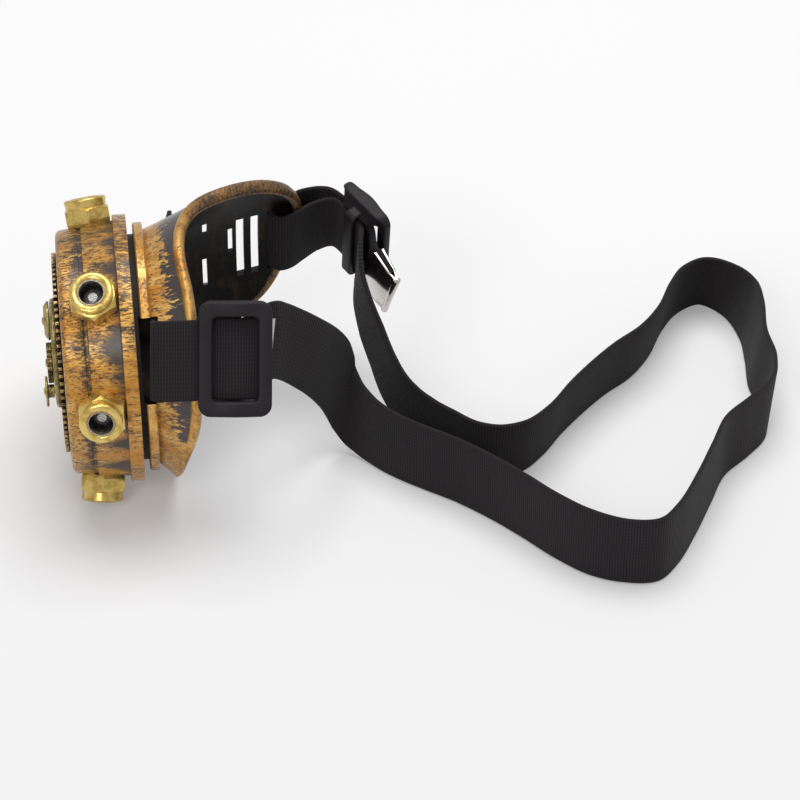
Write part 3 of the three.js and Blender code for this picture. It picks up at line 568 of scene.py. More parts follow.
def make_bezel(material):
    front = -BAND_LENGTH
    groove = [-GROOVE_SETBACK - GROOVE_WIDTH / 2, -GROOVE_SETBACK + GROOVE_WIDTH / 2]
    profile = [
        (FLANGE_WIDTH, BORE_RADIUS),
        (BORE_FRONT, BORE_RADIUS),
        (BORE_FRONT, POCKET_RADIUS),
        (front + LIP_THICKNESS, POCKET_RADIUS),
        (front + LIP_THICKNESS, LIP_RADIUS),
        (front, LIP_RADIUS),
        *arc((front + FRONT_ROUND, BAND_FRONT_RADIUS - FRONT_ROUND), FRONT_ROUND, 180, 90, 8),
        (groove[0], band_radius(groove[0])),
        (groove[0], band_radius(groove[0]) - GROOVE_DEPTH),
        (groove[1], band_radius(groove[1]) - GROOVE_DEPTH),
        (groove[1], band_radius(groove[1])),
        (0, BAND_REAR_RADIUS),
        (0, FLANGE_RADIUS),
        (FLANGE_WIDTH, FLANGE_RADIUS),
    ]
    piece = raw_piece("bezel", *turned(profile, BEZEL_SIDES, axial), [material])
    stands_for(eased(piece, BEZEL_EASE), "bezel_ring")


# Hex fittings: angle up from the near side and setback from the flange, then sizes in the fitting's own
# frame, z out of the band. Small steps of the outline are an inset and a height.
FITTING_PLACES = ((7.2, 5.8), (56.5, 5.8), (120, 5.8), (180, 6.4), (240, 7), (300, 7))
FITTING_GAP = 0.3
FITTING_ACROSS_FLATS = 11
FITTING_HEX_HEIGHT = 4
FITTING_COLLAR_RADIUS = 5.4
FITTING_HEIGHT = 6.6
FITTING_BORE_RADIUS = 3
FITTING_FLOOR = 1.6
SCREW_HOLE_RADIUS = 1.65
COLLAR_CREST = 0.55
SLEEVE_WALL = 0.42
SLEEVE_DEPTH = 1.3
SLEEVE_SETBACK = 0.3
SLEEVE_ROUND = 0.06
FITTING_FOOT_INSET = 0.3
FITTING_FOOT_STEPS = ((0.05, 0.22), (0, 0.5))
HEX_CHAMFER = 0.62
HEX_CHAMFER_INSET = 0.05
HEX_CHAMFER_ANGLE = 33
HEX_CHAMFER_STEPS = 5
COLLAR_FOOT_STEPS = ((0.3, 0.08), (0.22, 0.4))
COLLAR_MARGIN = 0.02
COLLAR_ARC = (-12, 168, 14)
BORE_FLOOR_ROUND = 0.3
FITTING_SIDES = 120


def fitting_frame(angle, setback):
    """Turns the fitting's own frame, in millimetres, into the goggle's."""
    taper = math.atan((BAND_REAR_RADIUS - BAND_FRONT_RADIUS) / BAND_LENGTH)
    seat = Matrix.Translation((-setback, 0, band_radius(-setback)))
    lean = Matrix.Rotation(-taper, 4, "Y")
    turn = Matrix.Rotation(math.pi / 2 - math.radians(angle), 4, "X")
    return turn @ seat @ lean @ Matrix.Translation((0, 0, FITTING_GAP))


def hex_radius(angle, inset=0.0):
    sixth = math.pi / 3
    return (FITTING_ACROSS_FLATS / 2 - inset) / math.cos((angle + sixth / 2) % sixth - sixth / 2)


def fitting_profile(angle):
    """Radius, height and finish of a fitting's outline at one angle, from its base to its screw hole."""
    corner = hex_radius(angle)
    brass = [(hex_radius(angle, FITTING_FOOT_INSET), 0)]
    brass += [(corner - inset, height) for inset, height in FITTING_FOOT_STEPS]
    chamfer_foot = FITTING_ACROSS_FLATS / 2 - HEX_CHAMFER_INSET
    for step in range(HEX_CHAMFER_STEPS + 1):
        drop = HEX_CHAMFER * (1 - step / HEX_CHAMFER_STEPS)
        chamfer = chamfer_foot + drop / math.tan(math.radians(HEX_CHAMFER_ANGLE))
        brass.append((min(corner, chamfer), FITTING_HEX_HEIGHT - drop))
    collar, hole = FITTING_COLLAR_RADIUS, FITTING_BORE_RADIUS
    sleeve = hole + SLEEVE_WALL
    brass += [(collar - inset, FITTING_HEX_HEIGHT + height) for inset, height in COLLAR_FOOT_STEPS]
    middle = (collar + sleeve) / 2 - COLLAR_MARGIN
    half_width = (collar - sleeve) / 2 - COLLAR_MARGIN
    crest = arc((0, 0), 1, *COLLAR_ARC)
    brass += [(middle + half_width * a, FITTING_HEIGHT + COLLAR_CREST * (b - 1)) for a, b in crest]
    top = FITTING_HEIGHT - SLEEVE_SETBACK
    nickel = [(sleeve, top - 2 * SLEEVE_ROUND), (sleeve - SLEEVE_ROUND, top)]
    nickel += [(hole + SLEEVE_ROUND, top), (hole, top - SLEEVE_ROUND)]
    bore = [(hole, top - SLEEVE_DEPTH), (hole, FITTING_FLOOR + BORE_FLOOR_ROUND)]
    bore += [(hole - BORE_FLOOR_ROUND, FITTING_FLOOR), (SCREW_HOLE_RADIUS, FITTING_FLOOR)]
    bore.append((SCREW_HOLE_RADIUS, 0))
    return [(*row, finish) for finish, rows in enumerate((brass, nickel, bore)) for row in rows]


def seated(turn, point):
    """A point of a fitting's base, lowered on to the band."""
    place = turn @ point
    drop = math.hypot(place.y, place.z) - band_radius(place.x)
    return turn @ (point - Vector((0, 0, drop)))


def make_fittings(brass, nickel, bore):
    for number, (turned_to, setback) in enumerate(FITTING_PLACES, 1):
        turn = fitting_frame(turned_to, setback)
        rings = []
        for side in range(FITTING_SIDES):
            angle = 2 * math.pi * side / FITTING_SIDES
            ring = []
            for radius, height, _ in fitting_profile(angle):
                point = Vector((radius * math.cos(angle), radius * math.sin(angle), height))
                ring.append(on_goggle(turn @ point if ring else seated(turn, point)))
            rings.append(ring)
        points, faces = rings_joined(rings, closed=True)
        finishes = [finish for _, _, finish in fitting_profile(0)]
        faces_of = [finishes[face % len(finishes)] for face in range(len(faces))]
        name = f"hex_fitting_{number}"
        piece = raw_piece(name + "_nut", points, faces, [brass, nickel, bore], faces_of)
        stands_for(piece, name, angle=28)


# Gear ornament. A place is how far a small piece stands from the lens axis along the ornament's angle, a
# base is the height of its underside. The steps of an outline are up from the base and in from the edge,
# down from the top and in from the edge, and down from the top and out from the pin's hole.
ORNAMENT_ANGLE = 126
ORNAMENT_GAP = 0.3
ORNAMENT_SIDES = 72
TRAIN_BASE = 2.8
BOSS_PLACE = 8.3
BOSS_RADIUS = 5
BOSS_TOP = TRAIN_BASE + 1.4
BOSS_STEPS = (
    ((0, 0.12), (0.12, 0), (0.45, 0), (0.55, 0.15)),
    ((0.25, 0.9), (0.06, 1.3), (0, 1.6), (0.15, 2)),
    ((0.15, 0.6), (0, 0.35), (0, 0)),
)
COG_PLACE = -2.4
COG_TOP = TRAIN_BASE + 1.3
DISC_PLACE = -9.6
DISC_RADIUS = 3.9
DISC_HUB = 1.7
DISC_BASE = COG_TOP + ORNAMENT_GAP
DISC_TOP = DISC_BASE + 0.6
DISC_STEPS = (
    ((0, 0.15), (0.15, 0)),
    ((0.15, 0), (0, 0.15), (0, 0.7), (0.15, 0.85)),
    ((0.15, 0.6), (0, 0.45), (0, 0)),
)
# Each rivet's place, and the height of the piece under its head
RIVETS = {
    "boss_rivet": (BOSS_PLACE, BOSS_TOP),
    "ornament_rivet": (COG_PLACE, COG_TOP),
    "disc_rivet": (DISC_PLACE, DISC_TOP),
}
RIVET_RADIUS = 0.8
RIVET_HEAD_RADIUS = 1.15
RIVET_HEAD_HEIGHT = 0.4
RIVET_DOME = (0, 0.4, 0.8, 1.2)
RIVET_MIDDLE = 0.02
RIVET_SIDES = 32
PIN_GAP = 0.15
PIN_HOLE = RIVET_RADIUS + PIN_GAP


def ornament_frame(place):
    """A function from a turned piece's own frame, along its axis to the front, to the part's."""
    turn = Matrix.Rotation(math.pi / 2 - math.radians(ORNAMENT_ANGLE), 4, "X")

    def put(along, aside, up):
        point = Vector((-BAND_LENGTH - ORNAMENT_GAP - along, aside, place + up))
        return on_goggle(turn @ point)

    return put


def stepped(base, top, radius, steps):
    """An outline of height and radius, from a piece's underside over its edge to the pin's hole."""
    side, face, hub = steps
    outline = [(base + rise, radius - inset) for rise, inset in side]
    outline += [(top - fall, radius - inset) for fall, inset in face]
    return outline + [(top - fall, PIN_HOLE + out) for fall, out in hub]


def make_ornament(ring_brass, cog_brass, brass, rivet):
    dressed("ring_gear", ring_brass, ease=0.13)
    dressed("brass_wheel", brass, ease=0.14)
    dressed("centre_cog", cog_brass, ease=0.12)
    boss = [(TRAIN_BASE, PIN_HOLE), *stepped(TRAIN_BASE, BOSS_TOP, BOSS_RADIUS, BOSS_STEPS)]
    disc = [(TRAIN_BASE, PIN_HOLE), (TRAIN_BASE, DISC_HUB), (DISC_BASE, DISC_HUB)]
    disc += stepped(DISC_BASE, DISC_TOP, DISC_RADIUS, DISC_STEPS)
    raised = (("boss", "upper_boss", boss, BOSS_PLACE), ("disc", "lower_disc", disc, DISC_PLACE))
    for name, node, outline, place in raised:
        shape = turned(outline, ORNAMENT_SIDES, ornament_frame(place))
        stands_for(raw_piece(name, *shape, [brass]), node, angle=40)
    for name, (place, seat) in RIVETS.items():
        under = seat + PIN_GAP
        dome = [(RIVET_HEAD_HEIGHT * math.sin(a), RIVET_HEAD_RADIUS * math.cos(a)) for a in RIVET_DOME]
        profile = [(PIN_GAP, RIVET_MIDDLE), (PIN_GAP, RIVET_RADIUS), (under, RIVET_RADIUS)]
        profile += [(under + rise, radius) for rise, radius in dome]
        profile.append((under + RIVET_HEAD_HEIGHT, RIVET_MIDDLE))
        shape = turned(profile, RIVET_SIDES, ornament_frame(place))
        stands_for(raw_piece(name + "_head", *shape, [rivet]), name, angle=40)


# Eye cup. A cut is how far from the axis a cutter starts and ends. The rim's crown and foot are heights
# between which it changes, and the fin's half width and reach are those of its foot and of its peak.
NECK_FRONT = -7.8
NECK_RADIUS = 28.8
NECK_WALL = 2.5
CUP_FLANGE_FRONT = 5
CUP_FLANGE_RADIUS = 31.7
CUP_FLANGE_EASE = 0.3
CUP_WALL_FRONT = 7.4
CUP_WALL_RADIUS = 29.8
CUP_WALL = 2
RIM_BEAD_RADIUS = 1.45
RIM_BEAD_HALF_WIDTH = 1.5
RIM_BEAD_SETBACK = 0.3
RIM_CROWN = (18, 26)
RIM_CROWN_GROWTH = 0.4
RIM_FOOT = (-2, -18)
RIM_FOOT_SLIMNESS = 0.42
NOSE_SLOT_ANGLE = 28
NOSE_SLOT = (4.4, 9.2)
TEMPLE_SLOT_ANGLE = 167
TEMPLE_SLOTS = (25.8, 29.7, 34.2)
TEMPLE_SLOT_LENGTH = 2
SLOT_WIDTH = 21.4
SLOT_CUT = (CUP_WALL_RADIUS - 8.5, CUP_WALL_RADIUS + 20.05)
# Vents: distance behind the wall's front, angle up from the near side, length
VENTS = ((16.4, 149.5, 3.8), (16.2, 179, 6.2), (23.2, 162.4, 6.2))
VENT_WIDTH = 1.2
VENT_FLARE = 4.8
VENT_CUT = (CUP_WALL_RADIUS - CUP_WALL, CUP_WALL_RADIUS + 12)
FIN_ANGLE = 134
FIN_FOOT = (4.6, 8.6)
FIN_PEAK = (7, 8)
FIN_HALF = (0.6, 0.36)
FIN_HEIGHT = 3
FIN_REACH = (CUP_WALL_RADIUS - CUP_WALL, CUP_FLANGE_RADIUS + FIN_HEIGHT)
RIM_STEPS = 200
WALL_STEPS = 14
BEAD_SIDES = 16
BLOCK_FACES = 6
# Numbers of the cup's finishes
PAINT, RIM_GOLD, INSIDE, NECK = range(4)

# Rolled rim: angle up from the near side, distance behind the cup's flange, distance out from the wall
RIM_STATIONS = (
    (0, 9, 2.4),
    (NOSE_SLOT_ANGLE, 9.6, 2.4),
    (55, 9.2, 2.4),
    (80, 8, 2.6),
    (100, 9.8, 3.4),
    (113, 14.1, 5.4),
    (122, 22.6, 7.8),
    (130, 31.1, 9),
    (140, 37.6, 9),
    (152, 40.6, 8.4),
    (TEMPLE_SLOT_ANGLE, 39.2, 7.6),
    (183, 35.8, 7.4),
    (196, 30.8, 8),
    (205, 22.6, 7.2),
    (214, 14.6, 5.4),
    (228, 9.6, 3.8),
    (250, 6, 3),
    (280, 4.6, 2.8),
    (308, 4.2, 3.2),
    (335, 6.4, 2.6),
)


class Curve:
    """A smooth curve through points, with uneven spans kept free of loops."""

    def __init__(self, points, closed=False):
        self.points = [Vector(point) for point in points]
        self.closed = closed
        self.spans = len(points) if closed else len(points) - 1

    def point(self, index):
        count = len(self.points)
        if self.closed:
            return self.points[index % count]
        if index < 0:
            return 2 * self.points[0] - self.points[1]
        if index >= count:
            return 2 * self.points[-1] - self.points[-2]
        return self.points[index]

    def at(self, place):
        """The point and the direction at a place counted in spans."""
        span = min(int(place), self.spans - 1)
        share = place - span
        a, b, c, d = (self.point(span + offset) for offset in (-1, 0, 1, 2))
        before, middle, after = (math.sqrt((q - p).length) for p, q in ((a, b), (b, c), (c, d)))
        start = (b - a) / before - (c - a) / (before + middle) + (c - b) / middle
        end = (c - b) / middle - (d - b) / (middle + after) + (d - c) / after
        start, end = start * middle, end * middle
        square = 3 * (c - b) - 2 * start - end
        cube = 2 * (b - c) + start + end
        point = b + start * share + square * share**2 + cube * share**3
        slope = start + 2 * square * share + 3 * cube * share**2
        return point, slope.normalized()


def around(angle, along, radius):
    turn = math.radians(angle)
    return Vector((along, -radius * math.cos(turn), radius * math.sin(turn)))


def rim_samples():
    stations = []
    for angle, reach, out in RIM_STATIONS:
        stations.append(around(angle, CUP_WALL_FRONT + reach, CUP_WALL_RADIUS + out))
    curve = Curve(stations, closed=True)
    samples = []
    for i in range(RIM_STEPS):
        point, tangent = curve.at(curve.spans * i / RIM_STEPS)
        samples.append((point, tangent, Vector((0, point.y, point.z)).normalized()))
    return samples


def wall_block(angle, spans, halves, radii):
    """A block through the cup's wall, at an angle up from the near side: its span along the axis, half
    its width and its distance from the axis, each at its inner and at its outer end."""
    turn = Matrix.Rotation(math.pi / 2 - math.radians(angle), 4, "X")
    ends = []
    for (start, end), half, out in zip(spans, halves, radii):
        corners = [(start, -half), (end, -half), (end, half), (start, half)]
        ends.append([on_goggle(turn @ Vector((along, aside, out))) for along, aside in corners])
    return rings_joined(ends, closed=False, capped=True)


def cup_cutters():
    slots = [(NOSE_SLOT_ANGLE, NOSE_SLOT)]
    for place in TEMPLE_SLOTS:
        start = CUP_WALL_FRONT + place - TEMPLE_SLOT_LENGTH / 2
        slots.append((TEMPLE_SLOT_ANGLE, (start, start + TEMPLE_SLOT_LENGTH)))
    half = SLOT_WIDTH / 2
    for angle, span in slots:
        yield wall_block(angle, (span, span), (half, half), SLOT_CUT)
    for place, angle, length in VENTS:
        middle = CUP_WALL_FRONT + place
        span = (middle - VENT_WIDTH / 2, middle + VENT_WIDTH / 2)
        yield wall_block(angle, (span, span), (length / 2, length / 2 + VENT_FLARE), VENT_CUT)


def combined(piece, other, operation):
    """Joins another mesh to a piece, or cuts it out."""
    change = piece.modifiers.new("combined", "BOOLEAN")
    change.operation = operation
    change.solver = "EXACT"
    change.object = other
    settled(piece)
    bpy.data.objects.remove(other)


def smooth_share(value, start, end):
    """0 at start, 1 at end and smooth between."""
    share = min(1, max(0, (value - start) / (end - start)))
    return share**2 * (3 - 2 * share)


def cup_shell(rim, materials):
    """The cup's neck, flange and wall, inside and outside."""
    wall_start = CUP_WALL_RADIUS - CUP_WALL / 2

    def ring(along, radius):
        return [on_goggle(outward * radius + Vector((along, 0, 0))) for _, _, outward in rim]

    def wall_ring(share, skin):
        made = []
        for point, _, outward in rim:
            radius = wall_start + (math.hypot(point.y, point.z) - wall_start) * share + skin
            along = CUP_WALL_FRONT + (point.x - CUP_WALL_FRONT) * share
            made.append(on_goggle(outward * radius + Vector((along, 0, 0))))
        return made

    shares = [step / WALL_STEPS for step in range(WALL_STEPS + 1)]
    neck_bore = NECK_RADIUS - NECK_WALL
    inner = [ring(NECK_FRONT, neck_bore), ring(CUP_FLANGE_FRONT, neck_bore)]
    inner += [wall_ring(share, -CUP_WALL / 2) for share in shares]
    outer = [wall_ring(share, CUP_WALL / 2) for share in reversed(shares)]
    flange = [
        ring(CUP_WALL_FRONT, CUP_FLANGE_RADIUS - CUP_FLANGE_EASE),
        ring(CUP_WALL_FRONT - CUP_FLANGE_EASE, CUP_FLANGE_RADIUS),
        ring(CUP_FLANGE_FRONT + CUP_FLANGE_EASE, CUP_FLANGE_RADIUS),
        ring(CUP_FLANGE_FRONT, CUP_FLANGE_RADIUS - CUP_FLANGE_EASE),
    ]
    neck = [ring(CUP_FLANGE_FRONT, NECK_RADIUS), ring(NECK_FRONT, NECK_RADIUS)]
    points, faces = rings_joined(inner + outer + flange + neck, closed=True)
    rows = [INSIDE] * (len(inner) - 1) + [PAINT] * (len(outer) + 1)
    rows += [RIM_GOLD] * len(flange) + [NECK] * len(neck)
    faces_of = [finish for finish in rows for _ in rim]
    return raw_piece("cup", points, faces, materials, faces_of)


def rim_bead(rim, materials):
    """The rolled rim, slimmer at its foot and thicker at its crown."""
    angles = [2 * math.pi * (side + 0.5) / BEAD_SIDES for side in range(BEAD_SIDES)]
    beads = []
    for point, tangent, outward in rim:
        across = tangent.cross(outward).normalized()
        out = across.cross(tangent)
        slim = 1 - RIM_FOOT_SLIMNESS * smooth_share(point.z, *RIM_FOOT)
        grown = RIM_BEAD_RADIUS + RIM_CROWN_GROWTH * smooth_share(point.z, *RIM_CROWN)
        thick, broad = out * grown * slim, across * RIM_BEAD_HALF_WIDTH * slim
        middle = point + across * math.copysign(RIM_BEAD_SETBACK, across.x)
        bead = [middle + thick * math.cos(a) + broad * math.sin(a) for a in angles]
        beads.append([on_goggle(place) for place in bead])
    points, faces = rings_joined(beads, closed=True)
    return raw_piece("bead", points, faces, materials, [RIM_GOLD] * len(faces))


def make_cup(*materials):
    """The materials are those of the paint, the rim, the inside and the neck."""
    rim = rim_samples()
    cup = cup_shell(rim, materials)
    combined(cup, rim_bead(rim, materials), "UNION")
    fin_spans = [[CUP_WALL_FRONT + place for place in span] for span in (FIN_FOOT, FIN_PEAK)]
    fin = wall_block(FIN_ANGLE, fin_spans, FIN_HALF, FIN_REACH)
    combined(cup, raw_piece("fin", *fin, materials, [NECK] * BLOCK_FACES), "UNION")
    for cutter in cup_cutters():
        combined(cup, raw_piece("cutter", *cutter, materials, [INSIDE] * BLOCK_FACES), "DIFFERENCE")
    stands_for(cup, "eye_cup", angle=32)


# Lens
LENS_RADIUS = 26.8
LENS_FRONT = -12.3
LENS_THICKNESS = 2.5
LENS_CHAMFER = 0.2
LENS_DISH = 0.6
LENS_DISH_STEPS = (1, 0.75, 0.5, 0.25, 0.002)
LENS_MIDDLE = 0.05
LENS_SIDES = 144


def make_lens(material):
    rear = LENS_FRONT + LENS_THICKNESS
    profile = [
        (LENS_FRONT, LENS_MIDDLE),
        (LENS_FRONT, LENS_RADIUS - LENS_CHAMFER),
        (LENS_FRONT + LENS_CHAMFER, LENS_RADIUS),
    ]
    profile += [(rear - LENS_DISH * (1 - share**2), LENS_RADIUS * share) for share in LENS_DISH_STEPS]
    piece = raw_piece("lens_disc", *turned(profile, LENS_SIDES, axial), [material])
    stands_for(piece, "lens", angle=30)


# Head strap: the route is close to the one that its solid follows, in millimetres from the table
STRAP_WIDTH = 20
STRAP_THICKNESS = 1.2
LAYER_PITCH = 2.2
SEAT_GAP = 0.3
SLIDER_LENGTH = 18
SLIDER_SIDE_BAR = 3.4
NEAR_SLIDER_PLACE = 27.1
NEAR_SLIDER_RISE = 3.2
NEAR_TAIL_INSET = 1.6
NEAR_SLIDER_DROP = 0.2
NEAR_SLIDER_TURN = 4.2
FAR_SLIDER_CENTRE = Vector((63.9, 31, 43.8))
FAR_SLIDER_HEADING = Vector((0.54, -0.8, -0.27)).normalized()
FAR_SLIDER_LEAN = Vector((0, -0.32, 0.95))
FAR_TAIL_END = Vector((71.2, 17, 35.1))
FAR_TAIL_HEADING = Vector((0.42, -0.73, -0.54)).normalized()
FAR_TAIL_LEAN = Vector((0, -0.37, 0.93))
NEAR_STRAP_DROP = 0.4
# How the outer layer bows out in the near slider's window: along, out
WINDOW_BOW = ((3.4, 0.3), (0, 0.9), (-3.4, 0.3))
RIB_PITCH = 0.7
STITCH_PITCH = 1.05
STRAP_STEPS = 10
SECTION_STEPS = 8
EDGE_SWEEP = 60
EDGE_STEPS = 4

# Fold through the nose slot: distance behind the slot's rear edge, distance under the lay on the rim
NOSE_FOLD = ((3.4, 1.2), (0.3, 2.2), (-1.5, 4), (-2, 6.2), (-0.9, 8.3), (1.6, 9.4), (5, 8))
# Back to the near slider: distance behind the rim, distance under the lay on it
NOSE_RETURN = ((0.2, 6.6), (3.2, 4.6))
# Inner layer under the near slider: along, out from the layer and up in the slider's frame
NEAR_INNER = ((-3.7, 0, 0), (0, 0, 0), (2.25, 0, 0), (4.5, -0.2, 1))
# Out from under the near slider: along, out and up in the slider's frame, then the tip of its top edge
NEAR_RUN = ((7.3, -2.7, 3.0, 0.09, 0.5), (10.1, -5.4, 3.85, 0.12, 0.38))
# Free loop: x, y and z of the middle line, then how far the top edge tips in x and y for a millimetre up
FREE_LOOP = (
    (40.1, -20.3, 48.6, 0.15, 0.34),
    (43.7, -17, 44.1, 0.22, 0.34),
    (47.9, -13, 38.3, 0.3, 0.36),
    (51.9, -7.4, 30.9, 0.41, 0.52),
    (54.8, -2.4, 23.5, 0.48, 0.64),
    (56.6, -0.2, 17.2, 0.42, 0.6),
    (58, -1, 13.4, 0.26, 0.37),
    (60, -4, 11.4, 0.14, 0.18),
    (63.5, -9.5, 10.4, 0.07, 0.08),
    (68.2, -15.6, 10.3, 0.03, 0.05),
    (74.2, -21.2, 10.3, 0, 0.05),
    (82.4, -28, 10.3, 0, 0.05),
    (90.2, -36, 10.3, 0, 0.05),
    (97.4, -44.8, 10.3, 0, 0.05),
    (104, -53.6, 10.3, 0, 0.05),
    (111.4, -61.2, 10.3, 0, 0.05),
    (119.6, -65.6, 10.3, 0, 0),
    (127.4, -66.2, 10.3, 0, 0),
    (133.4, -60.6, 10.3, 0, 0),
    (140.4, -49.6, 10.3, 0, 0),
    (147, -37.6, 10.3, 0, 0),
    (153, -26.8, 10.3, 0, 0),
    (160.8, -19.6, 10.3, 0, 0),
    (167.6, -12.4, 10.3, 0.05, 0),
    (170.4, -2, 10.3, 0.1, 0),
    (170.2, 10, 10.3, 0.15, 0),
    (172.2, 22.6, 10.3, 0.17, 0),
    (172.8, 33, 10.3, 0.15, -0.05),
    (170, 42.6, 10.2, 0.08, -0.2),
    (163.4, 48.4, 10.2, 0, -0.28),
    (156.2, 45, 10.2, 0.03, -0.25),
    (150.6, 37.4, 10.2, 0.1, -0.18),
    (144.8, 26.2, 10.2, 0.12, -0.16),
    (138, 17.4, 10.2, 0.12, -0.16),
    (129.6, 10.4, 10.2, 0.1, -0.18),
    (122.4, 3.2, 10.2, 0.1, -0.18),
    (115.2, -5, 10.2, 0.1, -0.18),
    (108.2, -14.2, 10.2, 0.1, -0.18),
    (101.4, -20.2, 10.2, 0.05, -0.2),
    (94.8, -21.6, 10.2, 0, -0.2),
    (89.4, -19.9, 10.2, -0.05, -0.15),
    (83.9, -14.8, 10.4, -0.04, -0.13),
    (77.7, -8.2, 11.2, 0.05, -0.24),
    (73.1, -2.8, 13.5, 0.21, -0.5),
    (70, 1.6, 17.2, 0.3, -0.82),
    (67.7, 6.1, 22.2, 0.3, -1.05),
    (65.5, 10.9, 28.1, 0.3, -1.13),
    (63.7, 16, 34.5, 0.17, -1.16),
    (63.3, 20.2, 39.1, 0, -0.95),
    (63.9, 24.6, 42.3, 0, -0.5),
)
# Places along the far slider of the layer that goes in and of the one that comes back
FAR_LAYERS = ((-3, 0, 8), (8, 0, -4.5))
# Between the far slider and the cup: the inner layer goes in, the outer one comes back
FAR_INNER = ((54.4, 37.2, 45, 0, -0.3), (50.2, 35, 44.2, 0, -0.25))
FAR_OUTER = ((50.2, 42.4, 45, 0, -0.25), (54.8, 42.8, 45.6, 0, -0.28), (57.8, 40.6, 46.7, 0, -0.32))
# Fold through the rear temple slot: distance behind the slot, then distance out from the inner layer on
# the way in, and from the outer one on the way back
TEMPLE_IN = ((5, -0.3), (2, -1), (-0.3, 1))
TEMPLE_OUT = ((-0.3, -2), (1.6, -0.3), (5, 0.6))
# Far strap end: distances back from its tip
FAR_TAIL = (10.5, 9.3, 4.5, 2.4)


def across_slot(angle):
    """The direction of the strap's width where it lies on the cup at a slot's angle."""
    turn = math.radians(angle)
    side = Vector((0, math.sin(turn), math.cos(turn)))
    return side if side.z > 0 else -side


def square_to(vector, heading):
    return (vector - heading * vector.dot(heading)).normalized()


def near_slider_frame():
    """The near slider's middle, and the directions along the strap and across it."""
    up = across_slot(NOSE_SLOT_ANGLE)
    centre = around(NOSE_SLOT_ANGLE, NEAR_SLIDER_PLACE, CUP_WALL_RADIUS + NEAR_SLIDER_RISE)
    centre += Vector((0, 0, AXIS_HEIGHT)) - up * NEAR_SLIDER_DROP
    rearward = Vector((1, 0, 0))
    turn = math.radians(NEAR_SLIDER_TURN)
    along = rearward * math.cos(turn) - up * math.sin(turn)
    return centre, along, up * math.cos(turn) + rearward * math.sin(turn)


def far_slider_frame():
    return FAR_SLIDER_CENTRE, -FAR_SLIDER_HEADING, square_to(FAR_SLIDER_LEAN, FAR_SLIDER_HEADING)


def strap_stations():
    """Places of the strap's middle line with the direction of its width at each."""
    half = LAYER_PITCH / 2
    end = SLIDER_LENGTH / 2
    lay = SEAT_GAP + STRAP_THICKNESS / 2
    temple_up = across_slot(TEMPLE_SLOT_ANGLE)
    rim = {angle: (CUP_WALL_FRONT + reach, CUP_WALL_RADIUS + out) for angle, reach, out in RIM_STATIONS}
    nose_rim, nose_radius = rim[NOSE_SLOT_ANGLE]
    _, temple_radius = rim[TEMPLE_SLOT_ANGLE]
    over_nose = nose_radius + RIM_BEAD_RADIUS + lay
    over_temple = temple_radius + RIM_BEAD_RADIUS + lay
    under_temple = math.sqrt((temple_radius - RIM_BEAD_RADIUS) ** 2 - (STRAP_WIDTH / 2) ** 2) - lay
    rear_slot = CUP_WALL_FRONT + TEMPLE_SLOTS[-1]
    lift_axis = Vector((0, 0, AXIS_HEIGHT))
    near_centre, near_along, near_up = near_slider_frame()
    strap_lift = near_up * (NEAR_SLIDER_DROP - NEAR_STRAP_DROP)
    _, far_along, far_up = far_slider_frame()
    tail_up = square_to(FAR_TAIL_LEAN, FAR_TAIL_HEADING)

    def nose(along, radius):
        return around(NOSE_SLOT_ANGLE, along, radius) + lift_axis, near_up

    def temple(behind, radius):
        return around(TEMPLE_SLOT_ANGLE, rear_slot + behind, radius) + lift_axis, temple_up

    def tipped(x, y):
        return Vector((x, y, 1)).normalized()

    def near(along, out, lift=0.0, up=near_up):
        lay_out = near_along.cross(near_up) * out
        return near_centre + strap_lift + near_along * along + lay_out + near_up * lift, up

    def far(along, out):
        return FAR_SLIDER_CENTRE + far_along * along + far_along.cross(far_up) * out, far_up

    def free(x, y, z, tip_x, tip_y):
        return Vector((x, y, z)), tipped(tip_x, tip_y)

    def tail(back):
        return FAR_TAIL_END - FAR_TAIL_HEADING * back, tail_up

    return [
        near(end - NEAR_TAIL_INSET, half),
        *(near(along, half + bow) for along, bow in WINDOW_BOW),
        near(-end + SLIDER_SIDE_BAR, half),
        nose(nose_rim, over_nose + SEAT_GAP),
        *(nose(NOSE_SLOT[1] + behind, over_nose - under) for behind, under in NOSE_FOLD),
        *(nose(nose_rim + behind, over_nose - under) for behind, under in NOSE_RETURN),
        *(near(along, out - half, lift) for along, out, lift in NEAR_INNER),
        *(near(along, out, lift, tipped(*tip)) for along, out, lift, *tip in NEAR_RUN),
        *(free(*row) for row in FREE_LOOP),
        *(far(along, -half) for along in FAR_LAYERS[0]),
        *(free(*row) for row in FAR_INNER),
        *(temple(behind, under_temple + out) for behind, out in TEMPLE_IN),
        *(temple(behind, over_temple + out) for behind, out in TEMPLE_OUT),
        *(free(*row) for row in FAR_OUTER),
        *(far(along, half) for along in FAR_LAYERS[1]),
        *(tail(back) for back in FAR_TAIL),
    ]


def strap_section():
    """The strap's cross section: across its width and out of it, with rounded edges."""
    half, thick = STRAP_WIDTH / 2, STRAP_THICKNESS / 2
    flat = [2 * step / SECTION_STEPS - 1 for step in range(SECTION_STEPS + 1)]
    edge = half - thick
    front = [(edge * share, thick) for share in flat]
    back = [(-edge * share, -thick) for share in flat]
    upper = arc((edge, 0), thick, EDGE_SWEEP, -EDGE_SWEEP, EDGE_STEPS)
    lower = arc((-edge, 0), thick, 180 + EDGE_SWEEP, 180 - EDGE_SWEEP, EDGE_STEPS)
    return front + upper + back + lower


